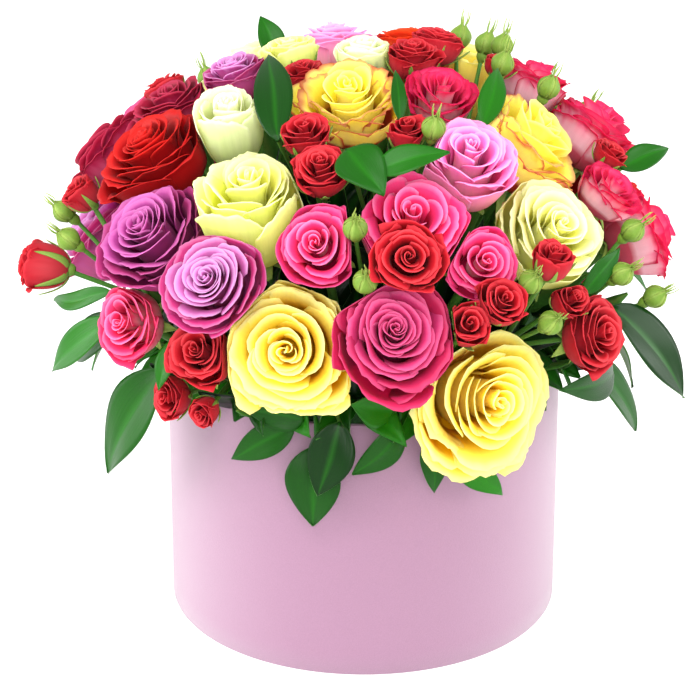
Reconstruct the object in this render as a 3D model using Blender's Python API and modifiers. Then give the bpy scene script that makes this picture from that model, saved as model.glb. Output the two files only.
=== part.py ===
"""Flower hat box: a round paper-covered box with a dome of mixed roses standing in florist foam.

Units are metres and Z is up. The origin is the middle of the underside of the box. Azimuth 0 is the
front, -Y, and grows towards +X. A bloom's place is an azimuth and a polar angle, in degrees, on the
dome that the bloom faces form. Every stem points at one focus under the foam's top, so no two cross.
"""

import math

import bmesh
import bpy
import numpy as np

# The box: a turned card wall, with the bottom disc set inside it
BOX_DIAMETER = 0.220
BOX_HEIGHT = 0.150
BOX_WALL = 0.003
BASE_THICKNESS = 0.003
RIM_ROUNDING = 0.0008
BOX_SIDES = 48
BOX_RADIUS = BOX_DIAMETER / 2

# The clearance that touching pieces keep
CLEARANCE = 0.0003

# The waterproof liner and the foam inside it
LINER_WALL = 0.0008
LINER_TOP = BOX_HEIGHT - 0.010
LINER_RADIUS = (BOX_RADIUS - BOX_WALL) * math.cos(math.pi / BOX_SIDES) - CLEARANCE
LINER_SIDES = 20
FOAM_RADIUS = LINER_RADIUS - LINER_WALL - CLEARANCE
FOAM_BOTTOM = BASE_THICKNESS + LINER_WALL + 2 * CLEARANCE
FOAM_SHOULDER = BOX_HEIGHT - 0.004
FOAM_TOP = BOX_HEIGHT + 0.060
FOAM_CROWN = np.radians([0, 40, 68, 90])
FOAM_SIDES = LINER_SIDES

# The dome of bloom faces, and the point that all stems aim at
DOME_LEVEL = 0.209
DOME_REACH = 0.160
DOME_RISE = 0.110
FOCUS = np.array([0.0, 0.0, 0.085])
STEM_END = 0.088
STEM_KNEE = 0.134
LOWEST_STEM = 36.0

# Plant parts
STEM_RADIUS = 0.0025
STEM_SIDES = 5
BRANCH_RADIUS = 0.0014
TWIG_RADIUS = 0.0012
TWIG_SIDES = 3
FORK_STEP = 0.0023
FORK_SHARE = 0.20
SPRAY_REFERENCE = np.array([0.31, 0.57, 0.76])
HOLE_REACH = 0.02
HOLE_GAP = 1.3 * CLEARANCE
PETAL_THICKNESS = 0.0010
LEAF_THICKNESS = 0.0009
FACE_OFFSET = 0.25
LARGE_BLOOM = 0.0225
SMALL_BLOOM = 0.0140
PETAL_LAP = 0.05
PETAL_SPREAD = 1.10
PETAL_EDGE_SPREAD = 0.94
PETAL_EDGE_DROP = 0.16
LEAF_ARCH = 0.08
LEAF_FOLD = 0.16
LEAF_CENTRE = np.array([0.0, 0.0, DOME_LEVEL - 0.06])
BUD_LENGTH = 0.016
BUD_SEAT = 0.008
BUD_RINGS = [((0.0058, 0.0054), (0.006, 0.006)), ((0.0060, 0.0034), (0.021, 0.012))]

# A head in shares of its radius: its base, the band its petals leave, and the rings of its heart, as
# number of points, radius, growth with opening, height, size of the steps and number of steps
BASE_DEPTH = 0.62
BAND_HEIGHT = -0.46
HEART_TOP = 0.60
HEART_TURN = 0.37
HEART_RINGS = {
    5: [(9, 0.50, 0.06, 0.34, 0.22, 3), (6, 0.36, 0.04, 0.25, 0.08, 3), (6, 0.24, 0.00, 0.54, 0.30, 2)],
    4: [(8, 0.48, 0.06, 0.36, 0.24, 2), (4, 0.26, 0.00, 0.30, 0.20, 2)],
    3: [(6, 0.42, 0.06, 0.44, 0.24, 2)],
}

# Room between neighbours
CROWDING = 0.84
SQUEEZE_START = 0.86
MIDDLE_MARGIN = 0.0008
NEIGHBOUR_MARGIN = 0.0002
BOX_MARGIN = 0.0006
NEAR = 0.010
NEAR_SHARE = 1.4

COLOURS = {
    "box_pink": (0.80, 0.52, 0.72),
    "board_grey": (0.55, 0.50, 0.50),
    "liner_clear": (0.80, 0.82, 0.80),
    "foam_green": (0.06, 0.16, 0.07),
    "leaf_green": (0.06, 0.20, 0.04),
    "yellow": (0.93, 0.80, 0.18),
    "lemon": (0.93, 0.92, 0.55),
    "cream": (0.93, 0.91, 0.74),
    "flame": (0.94, 0.62, 0.06),
    "orange": (0.86, 0.14, 0.02),
    "hot_pink": (0.84, 0.07, 0.24),
    "candy_pink": (0.88, 0.42, 0.66),
    "magenta": (0.45, 0.02, 0.16),
    "lilac": (0.62, 0.28, 0.56),
    "purple": (0.35, 0.07, 0.26),
    "red": (0.58, 0.01, 0.02),
}

# Single roses: name, then what each bloom has: azimuth and polar angle on the dome, lift and radius in
# mm, length against a round head's, colour, opening 0 to 1, and facing or None
ROSES = [
    ("rose_yellow_front", 24.8, 107.6, -1.6, 39, 1, "yellow", 1.00, (30, 12)),
    ("rose_yellow_left", -14.6, 89.3, -4.9, 35, 1, "yellow", 0.80, (-8, 22)),
    ("rose_magenta_centre", 5, 81.5, 9.6, 32, 1, "magenta", 0.85, (6, 38)),
    ("rose_lilac_front", -28.7, 72.5, 11.1, 26, 1, "lilac", 0.90, (-24, 36)),
    ("rose_purple_left", -50.4, 66.6, 0.5, 31, 1, "purple", 0.90, None),
    ("rose_red_left", -67.7, 49.4, 2.5, 30, 1, "red", 0.90, None),
    ("rose_lemon_upper", -28.4, 51.6, -3.5, 28, 1.45, "lemon", 0.45, (-12, 71)),
    ("rose_white_bud", -56.8, 33.2, -2.8, 20, 1.4, "cream", 0.10, (-24, 74)),
    ("rose_pink_small", -9.9, 61.2, -0.1, 21, 1.15, "hot_pink", 0.65, (-12, 34)),
    ("rose_pink_centre", 10.9, 54.1, -3.2, 29, 1, "hot_pink", 0.85, (8, 50)),
    ("rose_candy_pink", 29.6, 41.4, 1.8, 25.5, 1.25, "candy_pink", 0.60, (14, 58)),
    ("rose_cream_right", 43.4, 63.7, -1.6, 30, 1.1, "cream", 0.80, (34, 44)),
    ("rose_flame_right", 60.4, 40.5, -0.6, 32, 1, "flame", 1.00, (82, 46)),
    ("rose_flame_top", -9.3, 19.4, 1.6, 28, 1, "flame", 0.85, (-10, 66)),
    ("rose_pink_top", 46.8, 20.5, -0.9, 19.5, 1.25, "hot_pink", 0.75, (20, 68)),
    ("rose_pink_high_right", 103.6, 56.5, 0.8, 27, 1, "hot_pink", 0.85, None),
    ("rose_pink_ruffled_right", 87.7, 82.8, -0.5, 27, 1, "hot_pink", 0.85, (98, 22)),
    ("rose_pink_right_inner", 70.7, 61.7, -0.7, 18, 1, "hot_pink", 0.60, None),
    ("rose_pink_back_right", 116.4, 41.8, 0.9, 21, 1.1, "hot_pink", 0.60, None),
    ("rose_lilac_top", -93, 26.3, 2.1, 20, 1, "lilac", 0.65, None),
    ("rose_magenta_high_left", -89.8, 40.6, 2.4, 23, 1, "magenta", 0.85, None),
    ("rose_magenta_left", -99.2, 63.6, 2, 27, 1, "magenta", 0.85, (-112, 34)),
    ("rose_lemon_back", -115, 16.3, 1.8, 16, 1, "lemon", 0.30, None),
    ("rose_cream_top", -159.2, 0.1, 3.1, 16, 1.1, "cream", 0.65, None),
    ("rose_orange_back", 158.3, 29.6, 0.2, 24, 1, "orange", 0.65, None),
    ("rose_candy_back", -166, 27, 0, 24, 1, "candy_pink", 0.70, None),
    ("rose_pink_left", -50.8, 91.8, 1.7, 20, 1, "hot_pink", 0.70, (-42, 20)),
    ("rose_pink_right", 24.4, 67.4, -2.4, 19, 1, "hot_pink", 0.75, (20, 34)),
]

# Sprays: several blooms, buds and leaves on one branching stem. A green bud is azimuth, polar angle,
# lift in mm and facing; a leaf is the azimuth, radius and height of its base and of its tip, and its
# width, in mm.
SPRAYS = {
    "spray_red_rim_left": {
        "blooms": [(-31.2, 92, 3.6, 18.5, 1, "red", 0.60, None),
                   (-42, 110.9, 4.8, 12, 1, "red", 0.35, (-50, 10)),
                   (-33.2, 112, 5.7, 8.5, 1.2, "red", 0.05, (-34, -10))],
        "leaves": [((-40, 150, 202), (-41, 163, 176), 13)],
    },
    "spray_red_left": {
        "blooms": [(-84.1, 92, 21.3, 14.5, 1.4, "red", 0.25, (-96, 4)),
                   (-85, 71, 5.7, 11, 1.2, "red", 0.20, None)],
        "buds": [(-91, 81, 6, None), (-74, 80, 6, None)],
        "leaves": [((-60, 154, 196), (-76, 176, 152), 20), ((-64, 150, 208), (-84, 172, 184), 11)],
    },
    "spray_red_crown": {
        "blooms": [(-20.1, 33, 4.2, 13, 1.1, "red", 0.40, None),
                   (-11.9, 42.3, 4.1, 15, 1.1, "red", 0.50, None)],
    },
    "spray_red_top_left": {
        "blooms": [(-65, 13, 0, 12, 1, "red", 0.50, None)],
        "leaves": [((-29, 92, 298), (-80, 52, 322), 21), ((-138, 72, 300), (-141, 92, 320), 15)],
    },
    "spray_red_top": {
        "blooms": [(75, 9.5, 6.1, 15, 1, "red", 0.60, None), (133.9, 20.1, 5.4, 15, 1, "red", 0.50, None)],
        "leaves": [((13, 80, 308), (18, 52, 326), 8)],
    },
    "spray_buds_top_right": {
        "blooms": [(112, 30, 2, 9, 1, "red", 0.10, None)],
        "buds": [(146, 36, 6, None), (134, 35, 5, None), (123, 33, 7, None), (94, 27, 4, None),
                 (88, 37, 4, None)],
        "leaves": [((44, 88, 300), (74, 74, 318), 14)],
    },
    "spray_red_centre_top": {
        "blooms": [(14.5, 32, 4.8, 11, 1.2, "red", 0.15, (14, 70))],
        "buds": [(21, 35, 9, None)],
        "leaves": [((-5, 110, 303), (4, 136, 288), 26), ((2, 124, 296), (20, 124, 304), 16)],
    },
    "spray_red_centre": {
        "blooms": [(7.4, 64.8, 23.5, 18, 1.05, "red", 0.65, (4, 30))],
        "buds": [(-2, 58, 8, None), (0, 70, 8, None)],
    },
    "spray_red_right_centre": {
        "blooms": [(24.2, 76.1, 13.9, 13, 1.1, "red", 0.45, None),
                   (17.7, 80.6, 12.1, 12, 1.1, "red", 0.30, None)],
    },
    "spray_red_right": {
        "blooms": [(41.9, 81.2, 1.4, 11, 1.1, "red", 0.30, None),
                   (35.2, 68.7, 16.5, 11, 1.3, "red", 0.15, (36, 72)),
                   (47.8, 93.1, 5.4, 19.4, 1, "red", 0.80, (52, 22))],
        "buds": [(34, 85, 7, None), (31, 74, 7, None)],
    },
    "spray_buds_right": {
        "buds": [(54, 80, 6, None), (68, 93, 6, None), (62, 72, 6, None)],
        "leaves": [((58, 154, 206), (68, 186, 148), 31), ((46, 156, 224), (56, 160, 242), 12)],
    },
    "spray_red_high_right": {
        "blooms": [(80.2, 55.9, 3.2, 10, 1, "red", 0.30, None)],
        "leaves": [((86, 140, 258), (94, 168, 262), 15)],
    },
    "leaves_left": {
        "leaves": [((-52, 136, 170), (-68, 152, 97), 33), ((-76, 138, 176), (-92, 164, 140), 26)],
    },
    "leaves_front_left": {
        "leaves": [((-15, 122, 157), (-28, 131, 162), 18), ((-18, 120, 152), (-34, 126, 128), 18)],
    },
    "leaves_front": {
        "leaves": [((-6, 124, 158), (-11, 129, 117), 25), ((-13, 118, 140), (-13, 121, 95), 30)],
    },
    "leaves_front_right": {
        "leaves": [((7, 124, 164), (-3, 132, 172), 20), ((10, 118, 152), (-3, 124, 128), 18),
                   ((16, 119, 143), (18, 120, 113), 14), ((23, 119, 142), (37, 123, 104), 18)],
    },
    "leaves_right": {
        "leaves": [((70, 130, 160), (84, 154, 104), 22), ((68, 146, 156), (43, 150, 170), 19)],
    },
    "spray_red_back_right": {
        "blooms": [(130.6, 68.5, 7.1, 15, 1, "red", 0.50, None), (131, 58, 6, 11, 1, "red", 0.20, None)],
        "buds": [(124, 66, 8, None)],
        "leaves": [((101, 140, 192), (103, 168, 164), 22)],
    },
    "spray_red_back_left": {
        "blooms": [(-148, 68, 6, 15, 1, "red", 0.55, None), (-115.5, 48.9, 6.1, 12, 1, "red", 0.30, None)],
        "buds": [(-142, 60, 8, None)],
    },
    "spray_red_back_low": {
        "blooms": [(133, 111, 2, 29, 1, "red", 0.70, None)],
        "leaves": [((115, 124, 158), (118, 144, 110), 26), ((152, 122, 156), (150, 138, 106), 28)],
    },
    "spray_pink_back_low": {
        "blooms": [(-178, 112, 2, 29, 1, "hot_pink", 0.70, None)],
        "leaves": [((167, 122, 156), (165, 138, 104), 28), ((-163, 122, 156), (-162, 140, 108), 26)],
    },
    "spray_lilac_back_low": {
        "blooms": [(-147.7, 113, 2.9, 29, 1, "lilac", 0.70, None)],
        "leaves": [((-131, 122, 158), (-128, 142, 106), 28)],
    },
    "roses_back_yellow": {
        "blooms": [(149.9, 50.2, 0.1, 33, 1, "yellow", 0.80, None),
                   (143.2, 82.3, -0.1, 36, 1, "yellow", 0.95, None)],
    },
    "roses_back_pink": {
        "blooms": [(180, 52, 0, 33, 1, "hot_pink", 0.85, None),
                   (171, 84, 0, 35, 1, "hot_pink", 0.75, None)],
    },
    "roses_back_cream": {
        "blooms": [(-149, 48, 0, 33, 1, "cream", 0.80, None), (-162, 83, 0, 36, 1, "cream", 0.90, None)],
    },
    "roses_back_magenta": {
        "blooms": [(-120.9, 64.4, 1.4, 30, 1, "magenta", 0.80, None),
                   (-134.3, 88.7, 1.5, 35, 1, "magenta", 0.85, None)],
    },
    "rose_red_back": {
        "blooms": [(115, 87, 0, 33, 1, "red", 0.85, None)],
        "leaves": [((98, 128, 164), (98, 156, 114), 26)],
    },
    "rose_lilac_back": {
        "blooms": [(-108, 93, 0, 32, 1, "lilac", 0.85, None)],
        "leaves": [((-100, 128, 164), (-102, 160, 120), 26)],
    },
}


def unit(vector):
    return vector / np.linalg.norm(vector)


def mix(start, end, share):
    return start + (end - start) * share


def direction(azimuth, elevation):
    """Unit vector at an azimuth and an elevation, in degrees."""
    a, e = math.radians(azimuth), math.radians(elevation)
    return np.array([math.cos(e) * math.sin(a), -math.cos(e) * math.cos(a), math.sin(e)])


def dome_point(azimuth, polar, lift=0.0):
    """Point on the dome of bloom faces, lifted outwards by so many metres."""
    a, p = math.radians(azimuth), math.radians(polar)
    reach, rise = DOME_REACH + lift, DOME_RISE + lift
    return np.array([reach * math.sin(p) * math.sin(a), -reach * math.sin(p) * math.cos(a),
                     DOME_LEVEL + rise * math.cos(p)])


def ring_point(azimuth, radius_mm, height_mm):
    """Point at an azimuth, a distance from the middle line and a height."""
    flat = direction(azimuth, 0.0) * radius_mm / 1000
    return np.array([flat[0], flat[1], height_mm / 1000])


def axes_about(axis, turn=0.0):
    """Matrix whose columns are two cross directions and the axis."""
    side = unit(np.cross([0.0, 0.0, 1.0], axis) if abs(axis[2]) < 0.98 else np.cross([0.0, 1.0, 0.0], axis))
    up = np.cross(axis, side)
    first = side * math.cos(turn) + up * math.sin(turn)
    return np.stack([first, np.cross(axis, first), axis], axis=1)


# Blooms and their places

class Bloom:
    """A rose head: the ball that holds it, its facing, and how far it has opened."""

    def __init__(self, owner, index, azimuth, polar, lift, radius_mm, length, colour, opening, facing):
        face = dome_point(azimuth, polar, lift / 1000)
        self.owner = owner
        self.radius = radius_mm / 1000
        self.length = length
        self.axis = direction(*facing) if facing else unit(face - FOCUS)
        self.centre = face - FACE_OFFSET * self.radius * self.axis
        self.colour = colour
        self.opening = opening
        self.turn = 1.7 * index

    def base(self):
        return self.centre - BASE_DEPTH * self.length * self.radius * self.axis


def all_blooms():
    """Every rose head of the arrangement, with crowded ones eased apart."""
    blooms = []
    for name, *shape in ROSES:
        blooms.append(Bloom(name, len(blooms), *shape))
    for name, items in SPRAYS.items():
        for shape in items.get("blooms", []):
            blooms.append(Bloom(name, len(blooms), *shape))
    ease_apart(blooms)
    return blooms


def ease_apart(blooms, rounds=60):
    """Push heads that crowd each other apart; the smaller one gives way more."""
    for _ in range(rounds):
        for i, a in enumerate(blooms):
            for b in blooms[i + 1:]:
                gap = b.centre - a.centre
                distance = np.linalg.norm(gap)
                crowd = CROWDING * (a.radius + b.radius) - distance
                if crowd > 0:
                    share = b.radius ** 2 / (a.radius ** 2 + b.radius ** 2)
                    a.centre = a.centre - gap / distance * crowd * share * 0.5
                    b.centre = b.centre + gap / distance * crowd * (1 - share) * 0.5


# Room: each head keeps to its own side of flat walls between it and everything beside it

def nearest_in_hull(points, target):
    """Nearest point to target in the convex hull of the points, by repeated steps to a corner."""
    near = points[np.argmin(np.linalg.norm(points - target, axis=1))]
    for _ in range(80):
        corner = points[np.argmin((points - target) @ (near - target))]
        edge = corner - near
        length = edge @ edge
        if length < 1e-14:
            break
        near = near + edge * min(1.0, max(0.0, (target - near) @ edge / length))
    return near


def walls_of(bloom, blooms, obstacles):
    """Pairs of outward normal and distance, measured from the head's centre."""
    walls = []
    for other in blooms:
        if other.owner == bloom.owner:
            continue
        gap = other.centre - bloom.centre
        distance = np.linalg.norm(gap)
        if distance < bloom.length * bloom.radius + other.length * other.radius + NEAR:
            reach = (distance ** 2 + bloom.radius ** 2 - other.radius ** 2) / (2 * distance)
            walls.append((gap / distance, reach))
    for owner, points, margin in obstacles:
        if owner == bloom.owner:
            continue
        near = nearest_in_hull(points, bloom.centre)
        distance = np.linalg.norm(near - bloom.centre)
        if distance < NEAR_SHARE * bloom.length * bloom.radius + margin:
            normal = (near - bloom.centre) / distance
            walls.append((normal, min((points - bloom.centre) @ normal) - margin))
    return walls


def hold(points, bloom, walls, margin):
    """Bend points gently back behind the walls."""
    points = points - bloom.centre
    for normal, distance in walls:
        limit = distance - margin
        start = SQUEEZE_START * limit
        out = points @ normal
        eased = start + (limit - start) * (1 - np.exp(-(out - start) / (limit - start)))
        points = points + np.where(out > start, eased - out, 0.0)[:, None] * normal
    return points + bloom.centre


def stop_at(points, bloom, walls):
    """Leave no point past a wall."""
    points = points - bloom.centre
    for _ in range(6):
        for normal, distance in walls:
            past = np.maximum(points @ normal - (distance - NEIGHBOUR_MARGIN), 0.0)
            points = points - past[:, None] * normal
    return points + bloom.centre


# Closed shells built from rings of points

class Shell:
    """Points and faces of one closed skin, grown ring by ring from its foot to its tip."""

    def __init__(self):
        self.points = []
        self.faces = []

    def ring(self, points):
        first = len(self.points)
        self.points += [np.asarray(p, dtype=float) for p in points]
        return list(range(first, len(self.points)))

    def between(self, low, high):
        """Skin between two closed rings, which may differ in their number of points."""
        i = j = 0
        while i < len(low) or j < len(high):
            a, b = low[i % len(low)], high[j % len(high)]
            if j < len(high) and (i == len(low) or (j + 1) * len(low) <= (i + 1) * len(high)):
                j += 1
                self.faces.append((a, high[j % len(high)], b))
            else:
                i += 1
                self.faces.append((a, low[i % len(low)], b))

    def foot(self, ring):
        self.faces.append(tuple(reversed(ring)))

    def tip(self, ring, point):
        top = self.ring([point])[0]
        for k, corner in enumerate(ring):
            self.faces.append((corner, ring[(k + 1) % len(ring)], top))

    def quad(self, a, b, c, d):
        self.faces += [(a, b, c), (a, c, d)]

    def stalk(self, path, radius, sides, reference):
        """Rings along a path, closed at the foot; gives the last ring back."""
        last = None
        for ring in stalk_rings(path, radius, sides, reference):
            here = self.ring(ring)
            if last is None:
                self.foot(here)
            else:
                self.between(last, here)
            last = here
        return last

    def piece(self):
        return np.array(self.points), self.faces


def cross_axes(ahead, reference):
    """Two unit vectors across a direction, the first as near the reference as it can be."""
    first = unit(reference - (reference @ ahead) * ahead)
    return first, np.cross(ahead, first)


def stalk_rings(path, radius, sides, reference):
    """Rings of points round a path."""
    for k, point in enumerate(path):
        ahead = unit(path[min(k + 1, len(path) - 1)] - path[max(k - 1, 0)])
        first, second = cross_axes(ahead, reference)
        yield [point + radius * (first * math.cos(a) + second * math.sin(a))
               for a in np.linspace(0, 2 * math.pi, sides, endpoint=False)]


# The rose

def petal_middle(share, opening, v):
    """Radius and height of a petal's middle line; share 0 is the inmost petal and 1 the outmost."""
    tip = mix(0.04, 0.78 + 0.24 * opening, share)
    knots = [(0.10, -0.78), (mix(0.16, 0.92, share), mix(-0.70, -0.74, share)),
             (mix(0.17, 0.86, share), mix(0.42, 0.18, share)),
             (tip, 0.62 - (0.12 + 0.42 * opening) * share ** 2)]
    w = [(1 - v) ** 3, 3 * v * (1 - v) ** 2, 3 * v * v * (1 - v), v ** 3]
    return sum(a * k[0] for a, k in zip(w, knots)), sum(a * k[1] for a, k in zip(w, knots))


def outer_petal_row(bloom, petal, petals, v):
    """Three points across an outer petal, in the head's own frame; one side laps its neighbour."""
    middle = 2 * math.pi * (petal + 0.5) / petals + bloom.turn
    half = math.pi / petals * (PETAL_SPREAD if v < 1 else PETAL_EDGE_SPREAD)
    row = []
    for u in (-1, 0, 1):
        radius, height = petal_middle(1.0, bloom.opening, v * (1 - PETAL_EDGE_DROP * abs(u)))
        radius += PETAL_LAP * u
        row.append((radius * math.cos(middle + u * half), radius * math.sin(middle + u * half), height))
    return row


def head_ring(bloom, sides, radius, height, step=0.0, teeth=1, shift=0.0):
    """Ring of petal edges in the head's own frame, stepping outwards where petals overlap."""
    ring = []
    for side in range(sides):
        part = (side / sides * teeth + shift) % 1.0 - 0.5
        angle = 2 * math.pi * side / sides + bloom.turn
        wide = radius * (1 + step * part)
        ring.append((wide * math.cos(angle), wide * math.sin(angle), height + 0.25 * step * part))
    return ring


def rose_piece(bloom, walls, path, stem_radius, stem_sides):
    """A whole rose in one skin: its stem, its stepped heart and the outer petals that stand out of it."""
    petals, rows = (5, 2) if bloom.radius > LARGE_BLOOM else (4, 2) if bloom.radius > SMALL_BLOOM else (3, 1)
    axes = axes_about(bloom.axis)

    def placed(points):
        drawn = bloom.radius * np.array(points) * [1.0, 1.0, bloom.length]
        return hold(bloom.centre + drawn @ axes.T, bloom, walls, MIDDLE_MARGIN)

    shell = Shell()
    neck = shell.stalk(path, stem_radius, stem_sides, stem_reference(bloom))
    belly = 0.40 + 0.06 * bloom.opening
    half_band = 0.5 * PETAL_THICKNESS / bloom.radius
    low = shell.ring(placed(head_ring(bloom, 2 * petals, belly, BAND_HEIGHT - half_band)))
    high = shell.ring(placed(head_ring(bloom, 2 * petals, belly, BAND_HEIGHT + half_band)))
    shell.between(neck, low)
    for petal in range(petals):
        corners = [(2 * petal + k) % (2 * petals) for k in range(3)]
        sheet = [(np.array([shell.points[low[c]] for c in corners]) +
                  np.array([shell.points[high[c]] for c in corners])) / 2]
        for v in ((0.62, 1.0) if rows == 2 else (0.95,)):
            sheet.append(placed(outer_petal_row(bloom, petal, petals, v)))
        outer, inner = [low[c] for c in corners], [high[c] for c in corners]
        for row in range(1, len(sheet)):
            across = sheet[row][[1, 2, 2]] - sheet[row][[0, 0, 1]]
            along = sheet[row] - sheet[row - 1]
            normals = np.cross(across, along)
            normals *= PETAL_THICKNESS / 2 / np.linalg.norm(normals, axis=1)[:, None]
            next_outer = shell.ring(stop_at(sheet[row] + normals, bloom, walls))
            next_inner = shell.ring(stop_at(sheet[row] - normals, bloom, walls))
            for k in (0, 1):
                shell.quad(outer[k], outer[k + 1], next_outer[k + 1], next_outer[k])
                shell.quad(next_inner[k], next_inner[k + 1], inner[k + 1], inner[k])
            shell.quad(outer[0], next_outer[0], next_inner[0], inner[0])
            shell.quad(next_outer[2], outer[2], inner[2], next_inner[2])
            outer, inner = next_outer, next_inner
        for k in (0, 1):
            shell.quad(outer[k], outer[k + 1], inner[k + 1], inner[k])
    last = high
    for number, (sides, radius, growth, height, step, teeth) in enumerate(HEART_RINGS[petals]):
        radius += growth * bloom.opening
        ring = head_ring(bloom, sides, radius, height, step, teeth, HEART_TURN * number)
        here = shell.ring(stop_at(placed(ring), bloom, walls))
        shell.between(last, here)
        last = here
    shell.tip(last, placed([(0.0, 0.0, HEART_TOP)])[0])
    return shell.piece()


# Stems, buds and leaves

def stem_direction(target):
    """Unit vector from the focus towards a target, raised where it would meet the rim."""
    towards = unit(target - FOCUS)
    flat = math.hypot(towards[0], towards[1])
    elevation = math.degrees(math.atan2(towards[2], flat))
    azimuth = math.degrees(math.atan2(towards[0], -towards[1]))
    return direction(azimuth, max(elevation, LOWEST_STEM))


def stem_reference(bloom):
    """The head's first cross direction, which its stem's corners follow."""
    return axes_about(bloom.axis) @ np.array([math.cos(bloom.turn), math.sin(bloom.turn), 0.0])


def bud_piece(fork, base, axis):
    """A closed green bud on its stalk, with the sepal tips drawn out past it."""
    shell = Shell()
    first, second = cross_axes(axis, SPRAY_REFERENCE)
    last = shell.stalk([fork, base], TWIG_RADIUS, TWIG_SIDES, first)
    for radii, heights in BUD_RINGS:
        ring = [base + axis * heights[k % 2] + radii[k % 2] * (first * math.cos(a) + second * math.sin(a))
                for k, a in enumerate(np.linspace(0, 2 * math.pi, 6, endpoint=False))]
        here = shell.ring(ring)
        shell.between(last, here)
        last = here
    shell.tip(last, base + BUD_LENGTH * axis)
    return shell.piece()


def leaf_piece(fork, base, tip, width):
    """A leaf on its stalk: a blade with a folded midrib, arched outwards between base and tip."""
    length = np.linalg.norm(tip - base)
    along = (tip - base) / length
    out = (base + tip) / 2 - LEAF_CENTRE
    out = unit(out - (out @ along) * along)
    side = np.cross(along, out)
    shell = Shell()
    last = shell.stalk([fork, base], TWIG_RADIUS, TWIG_SIDES, out)
    for t, share in ((0.34, 1.0), (0.72, 0.74)):
        spine = base + along * length * t + out * LEAF_ARCH * length * 4 * t * (1 - t)
        half = 0.5 * width * share
        ring = []
        for u, face in ((0, 1), (1, 1), (1, -1), (0, -1), (-1, -1), (-1, 1)):
            lift = LEAF_FOLD * half * abs(u) + face * LEAF_THICKNESS / 2
            ring.append(spine + side * half * u + out * lift)
        here = shell.ring(ring)
        shell.between(last, here)
        last = here
    shell.tip(last, tip)
    return shell.piece()


class Spray:
    """One stem from the foam, its fork, and what grows on it."""

    def __init__(self, name, items, blooms):
        self.name = name
        self.blooms = [b for b in blooms if b.owner == name]
        self.buds = []
        for azimuth, polar, lift, facing in items.get("buds", []):
            face = dome_point(azimuth, polar, lift / 1000)
            axis = direction(*facing) if facing else unit(face - FOCUS)
            self.buds.append((face - BUD_SEAT * axis, axis))
        self.leaves = [(ring_point(*base), ring_point(*tip), width / 1000)
                       for base, tip, width in items.get("leaves", [])]
        ends = [b.base() for b in self.blooms] + [b[0] for b in self.buds] + [l[0] for l in self.leaves]
        middle = np.mean(ends, axis=0)
        beyond = FORK_SHARE * (np.linalg.norm(middle - FOCUS) - STEM_KNEE)
        reach = STEM_KNEE + FORK_STEP * (len(ends) - 1) + beyond
        self.towards = stem_direction(middle)
        self.fork = FOCUS + reach * self.towards

    def reference(self):
        return cross_axes(self.towards, SPRAY_REFERENCE)[0]

    def stem(self):
        return [FOCUS + STEM_END * self.towards, self.fork + STEM_RADIUS * self.towards]

    def fork_of(self, number):
        """Where a branch leaves the stem; each one starts a little lower than the one before."""
        return self.fork - number * FORK_STEP * self.towards

    def branch_feet(self):
        """Fork points for the blooms, the buds and the leaves, in that order."""
        feet = [self.fork_of(n) for n in range(len(self.blooms) + len(self.buds) + len(self.leaves))]
        split = len(self.blooms)
        return feet[:split], feet[split:split + len(self.buds)], feet[split + len(self.buds):]

    def pieces(self, walls):
        """Closed pieces that overlap at the fork."""
        stem = Shell()
        top = stem.stalk(self.stem(), STEM_RADIUS, STEM_SIDES, self.reference())
        stem.faces.append(tuple(top))
        pieces = [stem.piece()]
        bloom_feet, bud_feet, leaf_feet = self.branch_feet()
        for bloom, foot in zip(self.blooms, bloom_feet):
            large = bloom.radius > LARGE_BLOOM
            pieces.append(rose_piece(bloom, walls[bloom], [foot, bloom.base()],
                                     0.8 * STEM_RADIUS if large else BRANCH_RADIUS, 5 if large else 4))
        pieces += [bud_piece(foot, *bud) for bud, foot in zip(self.buds, bud_feet)]
        pieces += [leaf_piece(foot, *leaf) for leaf, foot in zip(self.leaves, leaf_feet)]
        return pieces


def foam_crown():
    """Profile of the foam's domed top, from the middle to its edge."""
    return [(FOAM_RADIUS * math.sin(a), mix(FOAM_SHOULDER, FOAM_TOP, math.cos(a))) for a in FOAM_CROWN]


def single_stem(bloom):
    """Path of a rose's own stem, with a knee above the foam."""
    towards = stem_direction(bloom.base())
    return [FOCUS + STEM_END * towards, FOCUS + STEM_KNEE * towards, bloom.base()]


def obstacles_of(blooms, sprays):
    """Everything but the heads that a head has to make room for: owner, points and margin."""
    found = []
    for bloom in blooms:
        if bloom.owner not in SPRAYS:
            path = single_stem(bloom)
            found += [(bloom.owner, np.array(path[k:k + 2]), STEM_RADIUS + CLEARANCE) for k in (0, 1)]
    for spray in sprays:
        found.append((spray.name, np.array(spray.stem()), STEM_RADIUS + CLEARANCE))
        bloom_feet, bud_feet, leaf_feet = spray.branch_feet()
        for bloom, foot in zip(spray.blooms, bloom_feet):
            found.append((spray.name, np.array([foot, bloom.base()]), STEM_RADIUS + CLEARANCE))
        for (base, axis), foot in zip(spray.buds, bud_feet):
            found.append((spray.name, np.array([foot, base]), BRANCH_RADIUS + CLEARANCE))
            found.append((spray.name, bud_piece(foot, base, axis)[0][TWIG_SIDES:], CLEARANCE))
        for (base, tip, width), foot in zip(spray.leaves, leaf_feet):
            points = leaf_piece(foot, base, tip, width)[0][TWIG_SIDES:]
            found.append((spray.name, np.array([foot, base]), BRANCH_RADIUS + CLEARANCE))
            found += [(spray.name, part, CLEARANCE) for part in (points[:-7], points[-13:-1], points[-7:])]
    around = np.linspace(0, 2 * math.pi, 64, endpoint=False)
    for radius, height in [(BOX_RADIUS, BOX_HEIGHT)] + foam_crown()[1:]:
        disc = np.stack([radius * np.cos(around), radius * np.sin(around), 0 * around + height], axis=1)
        found.append(("box", np.concatenate([disc, disc * [1, 1, 0]]), BOX_MARGIN))
    return found


# Blender objects

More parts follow.
